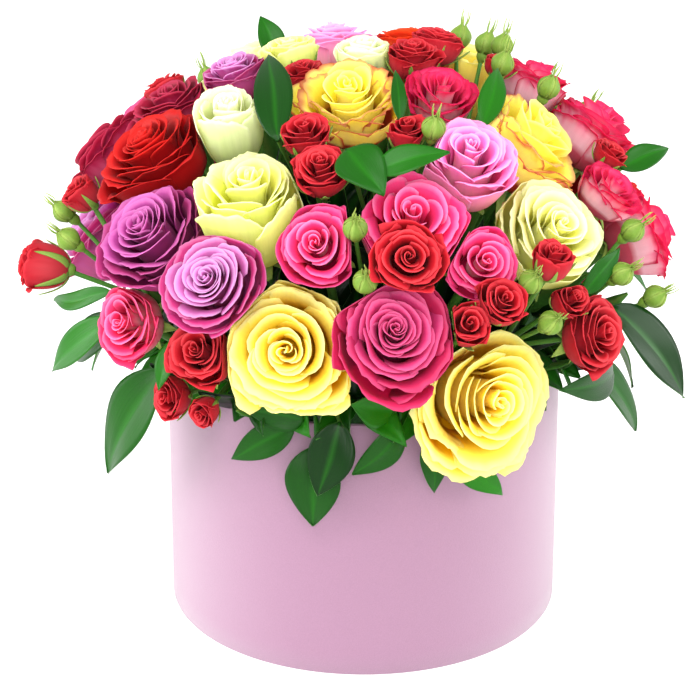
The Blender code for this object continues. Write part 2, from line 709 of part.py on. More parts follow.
def material(name):
    """Plain finish in the part's colour."""
    made = bpy.data.materials.get(name)
    if made is None:
        made = bpy.data.materials.new(name)
        made.use_nodes = True
        shader = made.node_tree.nodes["Principled BSDF"]
        shader.inputs["Base Color"].default_value = (*COLOURS[name], 1.0)
        shader.inputs["Roughness"].default_value = 0.35 if name == "leaf_green" else 0.6
        shader.inputs["Metallic"].default_value = 0.0
    return made


def mesh_object(name, points, faces, collection, colour):
    mesh = bpy.data.meshes.new(name)
    mesh.from_pydata([tuple(p) for p in points], [], faces)
    mesh.update()
    made = bpy.data.objects.new(name, mesh)
    mesh.materials.append(material(colour))
    collection.objects.link(made)
    return made


def main_body(mesh):
    """Drop loose scraps and sealed hollows: only the largest outward body stays."""
    work = bmesh.new()
    work.from_mesh(mesh)
    left = set(work.verts)
    bodies = []
    while left:
        body = {left.pop()}
        edge = list(body)
        while edge:
            vertex = edge.pop()
            for other in (e.other_vert(vertex) for e in vertex.link_edges):
                if other in left:
                    left.discard(other)
                    body.add(other)
                    edge.append(other)
        bodies.append(body)
    volumes = []
    for body in bodies:
        faces = {f for v in body for f in v.link_faces}
        volume = 0.0
        for face in faces:
            corners = [v.co for v in face.verts]
            for k in range(1, len(corners) - 1):
                volume += corners[0].dot(corners[k].cross(corners[k + 1])) / 6
        volumes.append(volume)
    kept = bodies[volumes.index(max(volumes))]
    bmesh.ops.delete(work, geom=[v for v in work.verts if v not in kept], context="VERTS")
    work.to_mesh(mesh)
    work.free()


def fuse(name, pieces, collection, colour):
    """One closed body from overlapping pieces."""
    made = mesh_object(name, *pieces[0], collection, colour)
    if len(pieces) > 1:
        group = bpy.data.collections.new(name + "_pieces")
        for number, (points, faces) in enumerate(pieces[1:]):
            mesh_object(f"{name}_piece_{number}", points, faces, group, colour)
        joint = made.modifiers.new("join", "BOOLEAN")
        joint.operation = "UNION"
        joint.operand_type = "COLLECTION"
        joint.collection = group
        joint.solver = "MANIFOLD"
        bpy.context.view_layer.update()
        joined = bpy.data.meshes.new_from_object(made.evaluated_get(bpy.context.evaluated_depsgraph_get()))
        made.modifiers.clear()
        old = made.data
        made.data = joined
        bpy.data.meshes.remove(old)
        for piece in list(group.objects):
            used = piece.data
            bpy.data.objects.remove(piece)
            bpy.data.meshes.remove(used)
        bpy.data.collections.remove(group)
        main_body(made.data)
    made.data.name = name
    return made


def turned(name, profile, sides, collection, colour):
    """Solid of revolution from a closed profile that runs down its outer side."""
    mesh = bpy.data.meshes.new(name)
    points = [(r, 0.0, z) for r, z in profile]
    closed = profile[0][0] > 0 and profile[-1][0] > 0
    edges = [(k, k + 1) for k in range(len(points) - 1)] + ([(len(points) - 1, 0)] if closed else [])
    mesh.from_pydata(points, edges, [])
    made = bpy.data.objects.new(name, mesh)
    mesh.materials.append(material(colour))
    collection.objects.link(made)
    spin = made.modifiers.new("turn", "SCREW")
    spin.steps = sides
    spin.render_steps = sides
    spin.use_merge_vertices = True
    spin.merge_threshold = 0.0001
    spin.use_smooth_shade = False
    return made


def build_box(collection):
    inner = BOX_RADIUS - BOX_WALL
    top = BOX_HEIGHT
    turned("box_wall", [(BOX_RADIUS - RIM_ROUNDING, top), (BOX_RADIUS, top - RIM_ROUNDING),
                        (BOX_RADIUS, 0.0), (inner, 0.0), (inner, top - RIM_ROUNDING),
                        (inner + RIM_ROUNDING, top)], BOX_SIDES, collection, "box_pink")
    disc = inner - CLEARANCE
    turned("box_base", [(0.0, BASE_THICKNESS), (disc, BASE_THICKNESS), (disc, 0.0), (0.0, 0.0)],
           BOX_SIDES, collection, "board_grey")
    floor = BASE_THICKNESS + CLEARANCE
    turned("foam_liner", [(0.0, floor + LINER_WALL), (LINER_RADIUS - LINER_WALL, floor + LINER_WALL),
                          (LINER_RADIUS - LINER_WALL, LINER_TOP), (LINER_RADIUS, LINER_TOP),
                          (LINER_RADIUS, floor), (0.0, floor)], LINER_SIDES, collection, "liner_clear")


def build_foam(collection, cutters, feet):
    """Foam block with a domed top, and a plain hole for each stem."""
    profile = foam_crown() + [(FOAM_RADIUS, FOAM_BOTTOM), (0.0, FOAM_BOTTOM)]
    foam = turned("florist_foam", profile, FOAM_SIDES, collection, "foam_green")
    for number, (towards, reference) in enumerate(feet):
        hole = Shell()
        path = [FOCUS + (STEM_END - CLEARANCE) * towards, FOCUS + (STEM_KNEE + HOLE_REACH) * towards]
        top = hole.stalk(path, STEM_RADIUS + HOLE_GAP, STEM_SIDES, reference)
        hole.faces.append(tuple(top))
        cutter = mesh_object(f"stem_hole_{number}", *hole.piece(), cutters, "foam_green")
        cutter.hide_render = True
        cutter.display_type = "WIRE"
    cut = foam.modifiers.new("stem_holes", "BOOLEAN")
    cut.operation = "DIFFERENCE"
    cut.operand_type = "COLLECTION"
    cut.collection = cutters
    return foam


def clear_scene():
    for old in list(bpy.data.objects):
        bpy.data.objects.remove(old)


def main():
    clear_scene()
    hat_box = bpy.data.collections.new("flower_hat_box")
    cutters = bpy.data.collections.new("cutters")
    for group in (hat_box, cutters):
        bpy.context.scene.collection.children.link(group)
    blooms = all_blooms()
    sprays = [Spray(name, items, blooms) for name, items in SPRAYS.items()]
    obstacles = obstacles_of(blooms, sprays)
    walls = {bloom: walls_of(bloom, blooms, obstacles) for bloom in blooms}
    build_box(hat_box)
    feet = []
    for bloom in blooms:
        if bloom.owner not in SPRAYS:
            feet.append((stem_direction(bloom.base()), stem_reference(bloom)))
            piece = rose_piece(bloom, walls[bloom], single_stem(bloom), STEM_RADIUS, STEM_SIDES)
            mesh_object(bloom.owner, *piece, hat_box, bloom.colour)
    for spray in sprays:
        feet.append((spray.towards, spray.reference()))
        colour = spray.blooms[0].colour if spray.blooms else "leaf_green"
        fuse(spray.name, spray.pieces(walls), hat_box, colour)
    build_foam(hat_box, cutters, feet)


main()
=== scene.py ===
"""Looks of the flower hat box: petals, leaves, buds, stems, box, foam, studio light and camera.

Units are metres, in the part's own frame. Each head stands where its solid stands: the layout tables
and the rules that place and squeeze the heads are the same as those of the solids.
"""

import math

import bpy
import numpy as np
from mathutils import Matrix


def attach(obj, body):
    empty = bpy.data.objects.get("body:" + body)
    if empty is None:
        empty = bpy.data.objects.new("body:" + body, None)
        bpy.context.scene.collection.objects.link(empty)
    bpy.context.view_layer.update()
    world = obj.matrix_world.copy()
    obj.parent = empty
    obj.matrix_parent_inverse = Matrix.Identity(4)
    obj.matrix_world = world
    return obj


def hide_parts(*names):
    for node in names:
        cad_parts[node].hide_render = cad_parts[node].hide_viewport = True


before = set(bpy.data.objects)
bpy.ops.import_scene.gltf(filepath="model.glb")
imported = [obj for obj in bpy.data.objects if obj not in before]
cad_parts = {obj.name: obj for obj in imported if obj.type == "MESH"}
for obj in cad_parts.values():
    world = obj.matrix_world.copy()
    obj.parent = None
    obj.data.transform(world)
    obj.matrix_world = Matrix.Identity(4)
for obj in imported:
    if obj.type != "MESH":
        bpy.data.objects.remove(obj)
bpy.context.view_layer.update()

# Sizes that the solids have too
BOX_RADIUS = 0.110
BOX_HEIGHT = 0.150
BOX_WALL = 0.003
CLEARANCE = 0.0003
LINER_WALL = 0.0008
FOAM_RADIUS = (BOX_RADIUS - BOX_WALL) * math.cos(math.pi / 48) - 2 * CLEARANCE - LINER_WALL
FOAM_SHOULDER = BOX_HEIGHT - 0.004
FOAM_TOP = BOX_HEIGHT + 0.060
FOAM_CROWN = np.radians([0, 40, 68, 90])
DOME_LEVEL = 0.209
DOME_REACH = 0.160
DOME_RISE = 0.110
FOCUS = np.array([0.0, 0.0, 0.085])
STEM_END = 0.088
STEM_KNEE = 0.134
LOWEST_STEM = 36.0
STEM_RADIUS = 0.0025
BRANCH_RADIUS = 0.0014
TWIG_RADIUS = 0.0012
FORK_STEP = 0.0023
FORK_SHARE = 0.20
FACE_OFFSET = 0.25
BASE_DEPTH = 0.62
LARGE_BLOOM = 0.0225
SMALL_BLOOM = 0.0140
LEAF_ARCH = 0.08
LEAF_FOLD = 0.16
LEAF_CENTRE = np.array([0.0, 0.0, DOME_LEVEL - 0.06])
BUD_SEAT = 0.008
CROWDING = 0.84
SQUEEZE_START = 0.86
MIDDLE_MARGIN = 0.0008
NEIGHBOUR_MARGIN = 0.0002
BOX_MARGIN = 0.0006
NEAR = 0.010
NEAR_SHARE = 1.4
BUD_WAIST = 0.012
BUD_ROOM = 0.006
BUD_TIP = 0.021
LEAF_ROOM = 0.0005

# Sizes of the looks alone. The petals' thickness is a share of the head's radius.
PETAL_THICKNESS = 0.012
SEPAL_THICKNESS = 0.0005
BUD_SEPAL_THICKNESS = 0.0004
LEAF_THICKNESS = 0.0006
HUGGED_BLOOM = 0.0165
CARD_EDGE = 0.0010
FLOOR_REACH = 6.0
GOLDEN_TURN = math.radians(137.5)

# Sides of round parts, and rounds of the sums that make room
HEAD_SIDES = 12
BUD_SIDES = 14
STEM_SIDES = 8
BOX_SIDES = 192
EASING_ROUNDS = 60
HULL_STEPS = 80
WALL_ROUNDS = 6

# First seed of the random draws for each kind of piece
FILLING_LAYOUT_SEED = 77
SPRAY_STEM_SEED = 200
BUD_STEM_SEED = 300
LEAF_STEM_SEED = 400
HEAD_SEED = 1000
CALYX_SEED = 4000
FILLING_SEED = 5000
RIM_SEED = 5200
BUD_SEED = 7000
LEAF_SEED = 9000

# Leaves that fill the room between the stems, and those along the rim. A grid is rows and columns, and
# a share is that of a head's radius that they keep out of. The filling also keeps off the wall's top.
FILLING_LEAVES = 200
FILLING_TRIES = 3000
FILLING_START = 0.122
FILLING_GRID = (8, 5)
FILLING_SHARE = 0.97
WALL_TOP_ROOM = 0.008
WALL_SIDE_ROOM = 0.012
RIM_LEAVES = 60
RIM_GRID = (10, 7)
RIM_SHARE = 0.99

# The camera that was fitted to the box's outline in the photograph
CAMERA_LENS = 146.25
CAMERA_SENSOR = 36.0
CAMERA_TARGET = np.array([-0.00766, 0.0, 0.1466])
CAMERA_PITCH = math.radians(22.96)
CAMERA_DISTANCE = 1.6

# Lights: name, place, size and power
LIGHT_TARGET = (0.0, 0.0, 0.20)
LIGHTS = [
    ("key_left", (-2.1, -0.7, 0.9), 1.2, 46.0),
    ("fill_right", (2.1, -0.6, 0.9), 1.2, 34.0),
    ("top_soft", (-0.3, -1.2, 2.2), 1.4, 58.0),
    ("front_soft", (0.2, -2.4, 1.2), 1.2, 54.0),
    ("side_left", (-2.0, 0.5, 0.6), 1.0, 24.0),
    ("side_right", (2.0, 0.6, 0.6), 1.0, 20.0),
]

# Single roses: name, then what each bloom has: azimuth and polar angle on the dome, lift and radius in
# mm, length against a round head's, colour, opening 0 to 1, and facing or None. Here and in SPRAYS the
# radii, lengths, openings, facings and widths were chosen. The places were worked out by separate
# scripts from points read off the photograph, or guessed where it shows nothing. A script then moved
# crowded heads apart.
ROSES = [
    ("rose_yellow_front", 24.8, 107.6, -1.6, 39, 1, "yellow", 1.00, (30, 12)),
    ("rose_yellow_left", -14.6, 89.3, -4.9, 35, 1, "yellow", 0.80, (-8, 22)),
    ("rose_magenta_centre", 5, 81.5, 9.6, 32, 1, "magenta", 0.85, (6, 38)),
    ("rose_lilac_front", -28.7, 72.5, 11.1, 26, 1, "lilac", 0.90, (-24, 36)),
    ("rose_purple_left", -50.4, 66.6, 0.5, 31, 1, "purple", 0.90, None),
    ("rose_red_left", -67.7, 49.4, 2.5, 30, 1, "red", 0.90, None),
    ("rose_lemon_upper", -28.4, 51.6, -3.5, 28, 1.45, "lemon", 0.45, (-12, 71)),
    ("rose_white_bud", -56.8, 33.2, -2.8, 20, 1.4, "cream", 0.10, (-24, 74)),
    ("rose_pink_small", -9.9, 61.2, -0.1, 21, 1.15, "hot_pink", 0.65, (-12, 34)),
    ("rose_pink_centre", 10.9, 54.1, -3.2, 29, 1, "hot_pink", 0.85, (8, 50)),
    ("rose_candy_pink", 29.6, 41.4, 1.8, 25.5, 1.25, "candy_pink", 0.60, (14, 58)),
    ("rose_cream_right", 43.4, 63.7, -1.6, 30, 1.1, "cream", 0.80, (34, 44)),
    ("rose_flame_right", 60.4, 40.5, -0.6, 32, 1, "flame", 1.00, (82, 46)),
    ("rose_flame_top", -9.3, 19.4, 1.6, 28, 1, "flame", 0.85, (-10, 66)),
    ("rose_pink_top", 46.8, 20.5, -0.9, 19.5, 1.25, "hot_pink", 0.75, (20, 68)),
    ("rose_pink_high_right", 103.6, 56.5, 0.8, 27, 1, "hot_pink", 0.85, None),
    ("rose_pink_ruffled_right", 87.7, 82.8, -0.5, 27, 1, "hot_pink", 0.85, (98, 22)),
    ("rose_pink_right_inner", 70.7, 61.7, -0.7, 18, 1, "hot_pink", 0.60, None),
    ("rose_pink_back_right", 116.4, 41.8, 0.9, 21, 1.1, "hot_pink", 0.60, None),
    ("rose_lilac_top", -93, 26.3, 2.1, 20, 1, "lilac", 0.65, None),
    ("rose_magenta_high_left", -89.8, 40.6, 2.4, 23, 1, "magenta", 0.85, None),
    ("rose_magenta_left", -99.2, 63.6, 2, 27, 1, "magenta", 0.85, (-112, 34)),
    ("rose_lemon_back", -115, 16.3, 1.8, 16, 1, "lemon", 0.30, None),
    ("rose_cream_top", -159.2, 0.1, 3.1, 16, 1.1, "cream", 0.65, None),
    ("rose_orange_back", 158.3, 29.6, 0.2, 24, 1, "orange", 0.65, None),
    ("rose_candy_back", -166, 27, 0, 24, 1, "candy_pink", 0.70, None),
    ("rose_pink_left", -50.8, 91.8, 1.7, 20, 1, "hot_pink", 0.70, (-42, 20)),
    ("rose_pink_right", 24.4, 67.4, -2.4, 19, 1, "hot_pink", 0.75, (20, 34)),
]

# Sprays: several blooms, buds and leaves on one branching stem. A green bud is azimuth, polar angle,
# lift in mm and facing; a leaf is the azimuth, radius and height of its base and of its tip, and its
# width, in mm.
SPRAYS = {
    "spray_red_rim_left": {
        "blooms": [(-31.2, 92, 3.6, 18.5, 1, "red", 0.60, None),
                   (-42, 110.9, 4.8, 12, 1, "red", 0.35, (-50, 10)),
                   (-33.2, 112, 5.7, 8.5, 1.2, "red", 0.05, (-34, -10))],
        "leaves": [((-40, 150, 202), (-41, 163, 176), 13)],
    },
    "spray_red_left": {
        "blooms": [(-84.1, 92, 21.3, 14.5, 1.4, "red", 0.25, (-96, 4)),
                   (-85, 71, 5.7, 11, 1.2, "red", 0.20, None)],
        "buds": [(-91, 81, 6, None), (-74, 80, 6, None)],
        "leaves": [((-60, 154, 196), (-76, 176, 152), 20), ((-64, 150, 208), (-84, 172, 184), 11)],
    },
    "spray_red_crown": {
        "blooms": [(-20.1, 33, 4.2, 13, 1.1, "red", 0.40, None),
                   (-11.9, 42.3, 4.1, 15, 1.1, "red", 0.50, None)],
    },
    "spray_red_top_left": {
        "blooms": [(-65, 13, 0, 12, 1, "red", 0.50, None)],
        "leaves": [((-29, 92, 298), (-80, 52, 322), 21), ((-138, 72, 300), (-141, 92, 320), 15)],
    },
    "spray_red_top": {
        "blooms": [(75, 9.5, 6.1, 15, 1, "red", 0.60, None),
                   (133.9, 20.1, 5.4, 15, 1, "red", 0.50, None)],
        "leaves": [((13, 80, 308), (18, 52, 326), 8)],
    },
    "spray_buds_top_right": {
        "blooms": [(112, 30, 2, 9, 1, "red", 0.10, None)],
        "buds": [(146, 36, 6, None), (134, 35, 5, None), (123, 33, 7, None), (94, 27, 4, None),
                 (88, 37, 4, None)],
        "leaves": [((44, 88, 300), (74, 74, 318), 14)],
    },
    "spray_red_centre_top": {
        "blooms": [(14.5, 32, 4.8, 11, 1.2, "red", 0.15, (14, 70))],
        "buds": [(21, 35, 9, None)],
        "leaves": [((-5, 110, 303), (4, 136, 288), 26), ((2, 124, 296), (20, 124, 304), 16)],
    },
    "spray_red_centre": {
        "blooms": [(7.4, 64.8, 23.5, 18, 1.05, "red", 0.65, (4, 30))],
        "buds": [(-2, 58, 8, None), (0, 70, 8, None)],
    },
    "spray_red_right_centre": {
        "blooms": [(24.2, 76.1, 13.9, 13, 1.1, "red", 0.45, None),
                   (17.7, 80.6, 12.1, 12, 1.1, "red", 0.30, None)],
    },
    "spray_red_right": {
        "blooms": [(41.9, 81.2, 1.4, 11, 1.1, "red", 0.30, None),
                   (35.2, 68.7, 16.5, 11, 1.3, "red", 0.15, (36, 72)),
                   (47.8, 93.1, 5.4, 19.4, 1, "red", 0.80, (52, 22))],
        "buds": [(34, 85, 7, None), (31, 74, 7, None)],
    },
    "spray_buds_right": {
        "buds": [(54, 80, 6, None), (68, 93, 6, None), (62, 72, 6, None)],
        "leaves": [((58, 154, 206), (68, 186, 148), 31), ((46, 156, 224), (56, 160, 242), 12)],
    },
    "spray_red_high_right": {
        "blooms": [(80.2, 55.9, 3.2, 10, 1, "red", 0.30, None)],
        "leaves": [((86, 140, 258), (94, 168, 262), 15)],
    },
    "leaves_left": {
        "leaves": [((-52, 136, 170), (-68, 152, 97), 33), ((-76, 138, 176), (-92, 164, 140), 26)],
    },
    "leaves_front_left": {
        "leaves": [((-15, 122, 157), (-28, 131, 162), 18), ((-18, 120, 152), (-34, 126, 128), 18)],
    },
    "leaves_front": {
        "leaves": [((-6, 124, 158), (-11, 129, 117), 25), ((-13, 118, 140), (-13, 121, 95), 30)],
    },
    "leaves_front_right": {
        "leaves": [((7, 124, 164), (-3, 132, 172), 20), ((10, 118, 152), (-3, 124, 128), 18),
                   ((16, 119, 143), (18, 120, 113), 14), ((23, 119, 142), (37, 123, 104), 18)],
    },
    "leaves_right": {
        "leaves": [((70, 130, 160), (84, 154, 104), 22), ((68, 146, 156), (43, 150, 170), 19)],
    },
    "spray_red_back_right": {
        "blooms": [(130.6, 68.5, 7.1, 15, 1, "red", 0.50, None), (131, 58, 6, 11, 1, "red", 0.20, None)],
        "buds": [(124, 66, 8, None)],
        "leaves": [((101, 140, 192), (103, 168, 164), 22)],
    },
    "spray_red_back_left": {
        "blooms": [(-148, 68, 6, 15, 1, "red", 0.55, None),
                   (-115.5, 48.9, 6.1, 12, 1, "red", 0.30, None)],
        "buds": [(-142, 60, 8, None)],
    },
    "spray_red_back_low": {
        "blooms": [(133, 111, 2, 29, 1, "red", 0.70, None)],
        "leaves": [((115, 124, 158), (118, 144, 110), 26), ((152, 122, 156), (150, 138, 106), 28)],
    },
    "spray_pink_back_low": {
        "blooms": [(-178, 112, 2, 29, 1, "hot_pink", 0.70, None)],
        "leaves": [((167, 122, 156), (165, 138, 104), 28), ((-163, 122, 156), (-162, 140, 108), 26)],
    },
    "spray_lilac_back_low": {
        "blooms": [(-147.7, 113, 2.9, 29, 1, "lilac", 0.70, None)],
        "leaves": [((-131, 122, 158), (-128, 142, 106), 28)],
    },
    "roses_back_yellow": {
        "blooms": [(149.9, 50.2, 0.1, 33, 1, "yellow", 0.80, None),
                   (143.2, 82.3, -0.1, 36, 1, "yellow", 0.95, None)],
    },
    "roses_back_pink": {
        "blooms": [(180, 52, 0, 33, 1, "hot_pink", 0.85, None),
                   (171, 84, 0, 35, 1, "hot_pink", 0.75, None)],
    },
    "roses_back_cream": {
        "blooms": [(-149, 48, 0, 33, 1, "cream", 0.80, None), (-162, 83, 0, 36, 1, "cream", 0.90, None)],
    },
    "roses_back_magenta": {
        "blooms": [(-120.9, 64.4, 1.4, 30, 1, "magenta", 0.80, None),
                   (-134.3, 88.7, 1.5, 35, 1, "magenta", 0.85, None)],
    },
    "rose_red_back": {
        "blooms": [(115, 87, 0, 33, 1, "red", 0.85, None)],
        "leaves": [((98, 128, 164), (98, 156, 114), 26)],
    },
    "rose_lilac_back": {
        "blooms": [(-108, 93, 0, 32, 1, "lilac", 0.85, None)],
        "leaves": [((-100, 128, 164), (-102, 160, 120), 26)],
    },
}


def paint(red, green, blue):
    """Linear colour from the 0 to 255 values seen on a screen."""
    c = np.array([red, green, blue]) / 255.0
    return np.where(c <= 0.04045, c / 12.92, ((c + 0.055) / 1.055) ** 2.4)


# How each kind of rose looks. Colours, as seen on a screen: heart is the middle of the head and face the
# rest, and both turn to edge at the rims; the edge colour is partly the rims' own paler colour and partly
# painted highlight where the rims catch the light; the deep colour, low inside the petals, is partly their
# own deeper colour and partly painted shade of the hollows between them; back_low and back_high are the
# outer side; outer is the body of the outmost petals; margin is a rim of another colour, margin_width wide
# on the petals from margin_from on. pale is how far up the outer side its low colour reaches.
# Shapes: layers is the number of petals, core the share of the head that its tight middle takes, whorls
# where the outer rings of petals stand, around how many petals a ring has and wide how much they
# overlap, grow how far they spread, drop how far their rims sink, cup sinks the heart, curl rolls the
# rims out, slopes are the angles of the rims from the heart outwards, ruffle waves and notch frays them.
PLAIN = dict(
    layers=26, core=0.62, whorls=(1.0, 0.88, 0.76), around=None, wide=1.0, grow=1.05, drop=1.0, cup=0.04,
    curl=0.08, slopes=(80, 46, 28, 16), ruffle=0.030, notch=0.010, margin=None, margin_width=0.0,
    margin_from=0.0, outer=None, pale=0.55)
LOOKS = {
    "yellow": dict(
        heart=(255, 236, 84), face=(255, 248, 128), edge=(255, 253, 196), deep_and_shade=(255, 214, 14),
        back_low=(244, 242, 130), back_high=(254, 248, 140), outer=(255, 252, 186), ruffle=0.034,
        notch=0.016, layers=35, core=0.80, curl=0.06, whorls=(1.0, 0.93, 0.86)),
    "lemon": dict(
        heart=(252, 250, 140), face=(252, 252, 182), edge=(253, 253, 214), deep_and_shade=(248, 246, 120),
        back_low=(232, 240, 160), back_high=(249, 251, 190), outer=(246, 250, 204), cup=0.0, curl=0.12,
        layers=26, core=0.56, drop=0.6, whorls=(1.0, 0.88, 0.72)),
    "cream": dict(
        heart=(251, 248, 146), face=(251, 251, 202), edge=(253, 253, 224), deep_and_shade=(246, 242, 146),
        back_low=(230, 238, 168), back_high=(248, 249, 204), outer=(248, 250, 208), cup=0.02, curl=0.15,
        layers=29, core=0.60, whorls=(1.0, 0.86, 0.72)),
    "white": dict(
        heart=(251, 250, 210), face=(249, 251, 226), edge=(253, 253, 238), deep_and_shade=(240, 244, 186),
        back_low=(230, 240, 190), back_high=(247, 250, 220), outer=(246, 250, 220), cup=0.0, curl=0.06,
        slopes=(86, 78, 66, 60), layers=20, core=0.50, drop=0.7, ruffle=0.015),
    "flame": dict(
        heart=(255, 246, 96), face=(255, 251, 136), edge=(255, 253, 176), deep_and_shade=(255, 243, 74),
        back_low=(255, 248, 196), back_high=(255, 248, 168), outer=(255, 251, 156),
        margin=(206, 24, 58), margin_width=0.16, margin_from=0.45, cup=0.02, curl=0.10, ruffle=0.085,
        notch=0.024, layers=27),
    "orange": dict(
        heart=(225, 50, 15), face=(235, 60, 20), edge=(245, 95, 40), deep_and_shade=(150, 20, 5),
        back_low=(240, 130, 50), back_high=(230, 70, 30), curl=0.14, layers=24),
    "pink": dict(
        heart=(240, 58, 130), face=(248, 84, 156), edge=(254, 156, 204), deep_and_shade=(230, 40, 110),
        back_low=(250, 232, 228), back_high=(244, 110, 170), outer=(242, 74, 150), curl=0.16,
        ruffle=0.024, layers=26, cup=0.0),
    "pink_pale": dict(
        heart=(240, 60, 124), face=(244, 84, 142), edge=(236, 50, 116), deep_and_shade=(226, 44, 106),
        back_low=(255, 240, 244), back_high=(246, 120, 168), outer=(238, 66, 126), margin=(214, 18, 82),
        margin_width=0.24, pale=0.70, curl=0.14, ruffle=0.055, notch=0.014, layers=25, cup=0.0),
    "coral": dict(
        heart=(238, 60, 120), face=(246, 80, 146), edge=(253, 150, 198), deep_and_shade=(224, 38, 96),
        back_low=(242, 196, 196), back_high=(238, 80, 132), outer=(240, 60, 120), curl=0.15,
        ruffle=0.024, layers=26, cup=0.0),
    "candy": dict(
        heart=(246, 134, 206), face=(250, 158, 222), edge=(253, 204, 238), deep_and_shade=(246, 128, 200),
        back_low=(244, 204, 196), back_high=(249, 188, 222), outer=(249, 176, 220), curl=0.14,
        layers=27, cup=0.0),
    "magenta": dict(
        heart=(206, 56, 122), face=(212, 64, 128), edge=(222, 98, 150), deep_and_shade=(200, 30, 92),
        back_low=(206, 74, 124), back_high=(204, 54, 112), outer=(200, 42, 94), curl=0.10, ruffle=0.050,
        notch=0.020, layers=36, cup=0.05, core=0.44, whorls=(1.0, 0.84, 0.70, 0.56), around=4,
        wide=1.15, slopes=(80, 52, 33, 18)),
    "magenta_red": dict(
        heart=(146, 14, 48), face=(162, 20, 56), edge=(200, 62, 96), deep_and_shade=(130, 8, 36),
        back_low=(210, 92, 130), back_high=(182, 32, 78), outer=(180, 22, 68), curl=0.18, ruffle=0.045,
        layers=26),
    "lilac": dict(
        heart=(216, 152, 214), face=(216, 132, 202), edge=(232, 184, 226), deep_and_shade=(202, 92, 162),
        back_low=(216, 94, 152), back_high=(210, 96, 168), outer=(206, 60, 134), ruffle=0.026,
        layers=36, cup=0.06, curl=0.10, core=0.58, whorls=(1.0, 0.88, 0.74)),
    "purple": dict(
        heart=(168, 52, 136), face=(192, 80, 164), edge=(214, 122, 190), deep_and_shade=(166, 44, 124),
        back_low=(174, 56, 116), back_high=(172, 58, 130), outer=(174, 50, 114), ruffle=0.036,
        notch=0.012, layers=36, cup=0.08, core=0.60),
    "scarlet": dict(
        heart=(188, 8, 12), face=(200, 12, 16), edge=(216, 40, 34), deep_and_shade=(160, 2, 8),
        back_low=(190, 20, 24), back_high=(186, 16, 22), outer=(190, 14, 20), ruffle=0.036, notch=0.014,
        layers=37, cup=0.04, curl=0.11),
    "red": dict(
        heart=(184, 12, 28), face=(202, 26, 42), edge=(226, 72, 82), deep_and_shade=(150, 4, 18),
        back_low=(208, 62, 72), back_high=(200, 34, 50), outer=(210, 38, 54), curl=0.16, ruffle=0.046,
        notch=0.014, layers=21, cup=0.0, core=0.54, whorls=(1.0, 0.84, 0.70), around=4, wide=1.1),
}
TINTS = ("heart", "face", "edge", "deep_and_shade", "back_low", "back_high", "outer", "margin")


def full_look(look):
    """A look with what it leaves out, and with linear colours."""
    look = {**PLAIN, **look}
    return {key: paint(*value) if key in TINTS and value else value for key, value in look.items()}


LOOKS = {name: full_look(look) for name, look in LOOKS.items()}

# The heads that don't have the look of their slot in the record
LOOK_OF_ROSE = {
    "rose_red_left": "scarlet", "rose_red_back": "scarlet", "rose_white_bud": "white",
    "rose_cream_top": "white", "rose_pink_left": "coral", "rose_pink_top": "pink_pale",
    "rose_pink_high_right": "pink_pale", "rose_pink_ruffled_right": "pink_pale",
    "rose_pink_right_inner": "pink_pale", "rose_pink_back_right": "pink_pale",
    "rose_magenta_high_left": "magenta_red", "rose_magenta_left": "magenta_red",
}
# The slots whose look has another name
LOOK_OF_SLOT = {"hot_pink": "pink", "candy_pink": "candy"}

# Colours of the green parts
LEAF_TOP = paint(4, 34, 4)
LEAF_TOP_LIGHT = paint(30, 106, 10)
LEAF_UNDER = paint(64, 112, 44)
STEM_GREEN = paint(72, 104, 44)
BUD_GREEN = paint(92, 120, 42)
BUD_PALE = paint(144, 162, 80)
SEPAL_GREEN = paint(92, 124, 48)


def unit(vector):
    return vector / np.linalg.norm(vector)


def mix(start, end, share):
    return start + (end - start) * share


def ease(low, high, x):
    """Smooth step from 0 to 1 between two limits."""
    t = np.clip((x - low) / (high - low), 0.0, 1.0)
    return t * t * (3 - 2 * t)


def direction(azimuth, elevation):
    """Unit vector at an azimuth and an elevation, in degrees."""
    a, e = math.radians(azimuth), math.radians(elevation)
    return np.array([math.cos(e) * math.sin(a), -math.cos(e) * math.cos(a), math.sin(e)])


def dome_point(azimuth, polar, lift=0.0):
    """Point on the dome of bloom faces, lifted outwards by so many metres."""
    a, p = math.radians(azimuth), math.radians(polar)
    reach, rise = DOME_REACH + lift, DOME_RISE + lift
    return np.array([reach * math.sin(p) * math.sin(a), -reach * math.sin(p) * math.cos(a),
                     DOME_LEVEL + rise * math.cos(p)])


def ring_point(azimuth, radius_mm, height_mm):
    """Point at an azimuth, a distance from the middle line and a height."""
    flat = direction(azimuth, 0.0) * radius_mm / 1000
    return np.array([flat[0], flat[1], height_mm / 1000])


def axes_about(axis, turn=0.0):
    """Matrix whose columns are two cross directions and the axis."""
    away = [0.0, 0.0, 1.0] if abs(axis[2]) < 0.98 else [0.0, 1.0, 0.0]
    side = unit(np.cross(away, axis))
    up = np.cross(axis, side)
    first = side * math.cos(turn) + up * math.sin(turn)
    return np.stack([first, np.cross(axis, first), axis], axis=1)


# Places of the heads, as in the solids

class Bloom:
    """A rose head: the ball that holds it, its facing, and how far it has opened."""

    def __init__(self, owner, index, azimuth, polar, lift, radius_mm, length, colour, opening, facing):
        face = dome_point(azimuth, polar, lift / 1000)
        self.owner = owner
        self.index = index
        self.radius = radius_mm / 1000
        self.length = length
        self.axis = direction(*facing) if facing else unit(face - FOCUS)
        self.centre = face - FACE_OFFSET * self.radius * self.axis
        self.colour = colour
        self.opening = opening
        self.turn = 1.7 * index

    def base(self):
        return self.centre - BASE_DEPTH * self.length * self.radius * self.axis


def all_blooms():
    """Every rose head of the arrangement, with crowded ones eased apart."""
    blooms = []
    for name, *shape in ROSES:
        blooms.append(Bloom(name, len(blooms), *shape))
    for name, items in SPRAYS.items():
        for shape in items.get("blooms", []):
            blooms.append(Bloom(name, len(blooms), *shape))
    ease_apart(blooms)
    return blooms


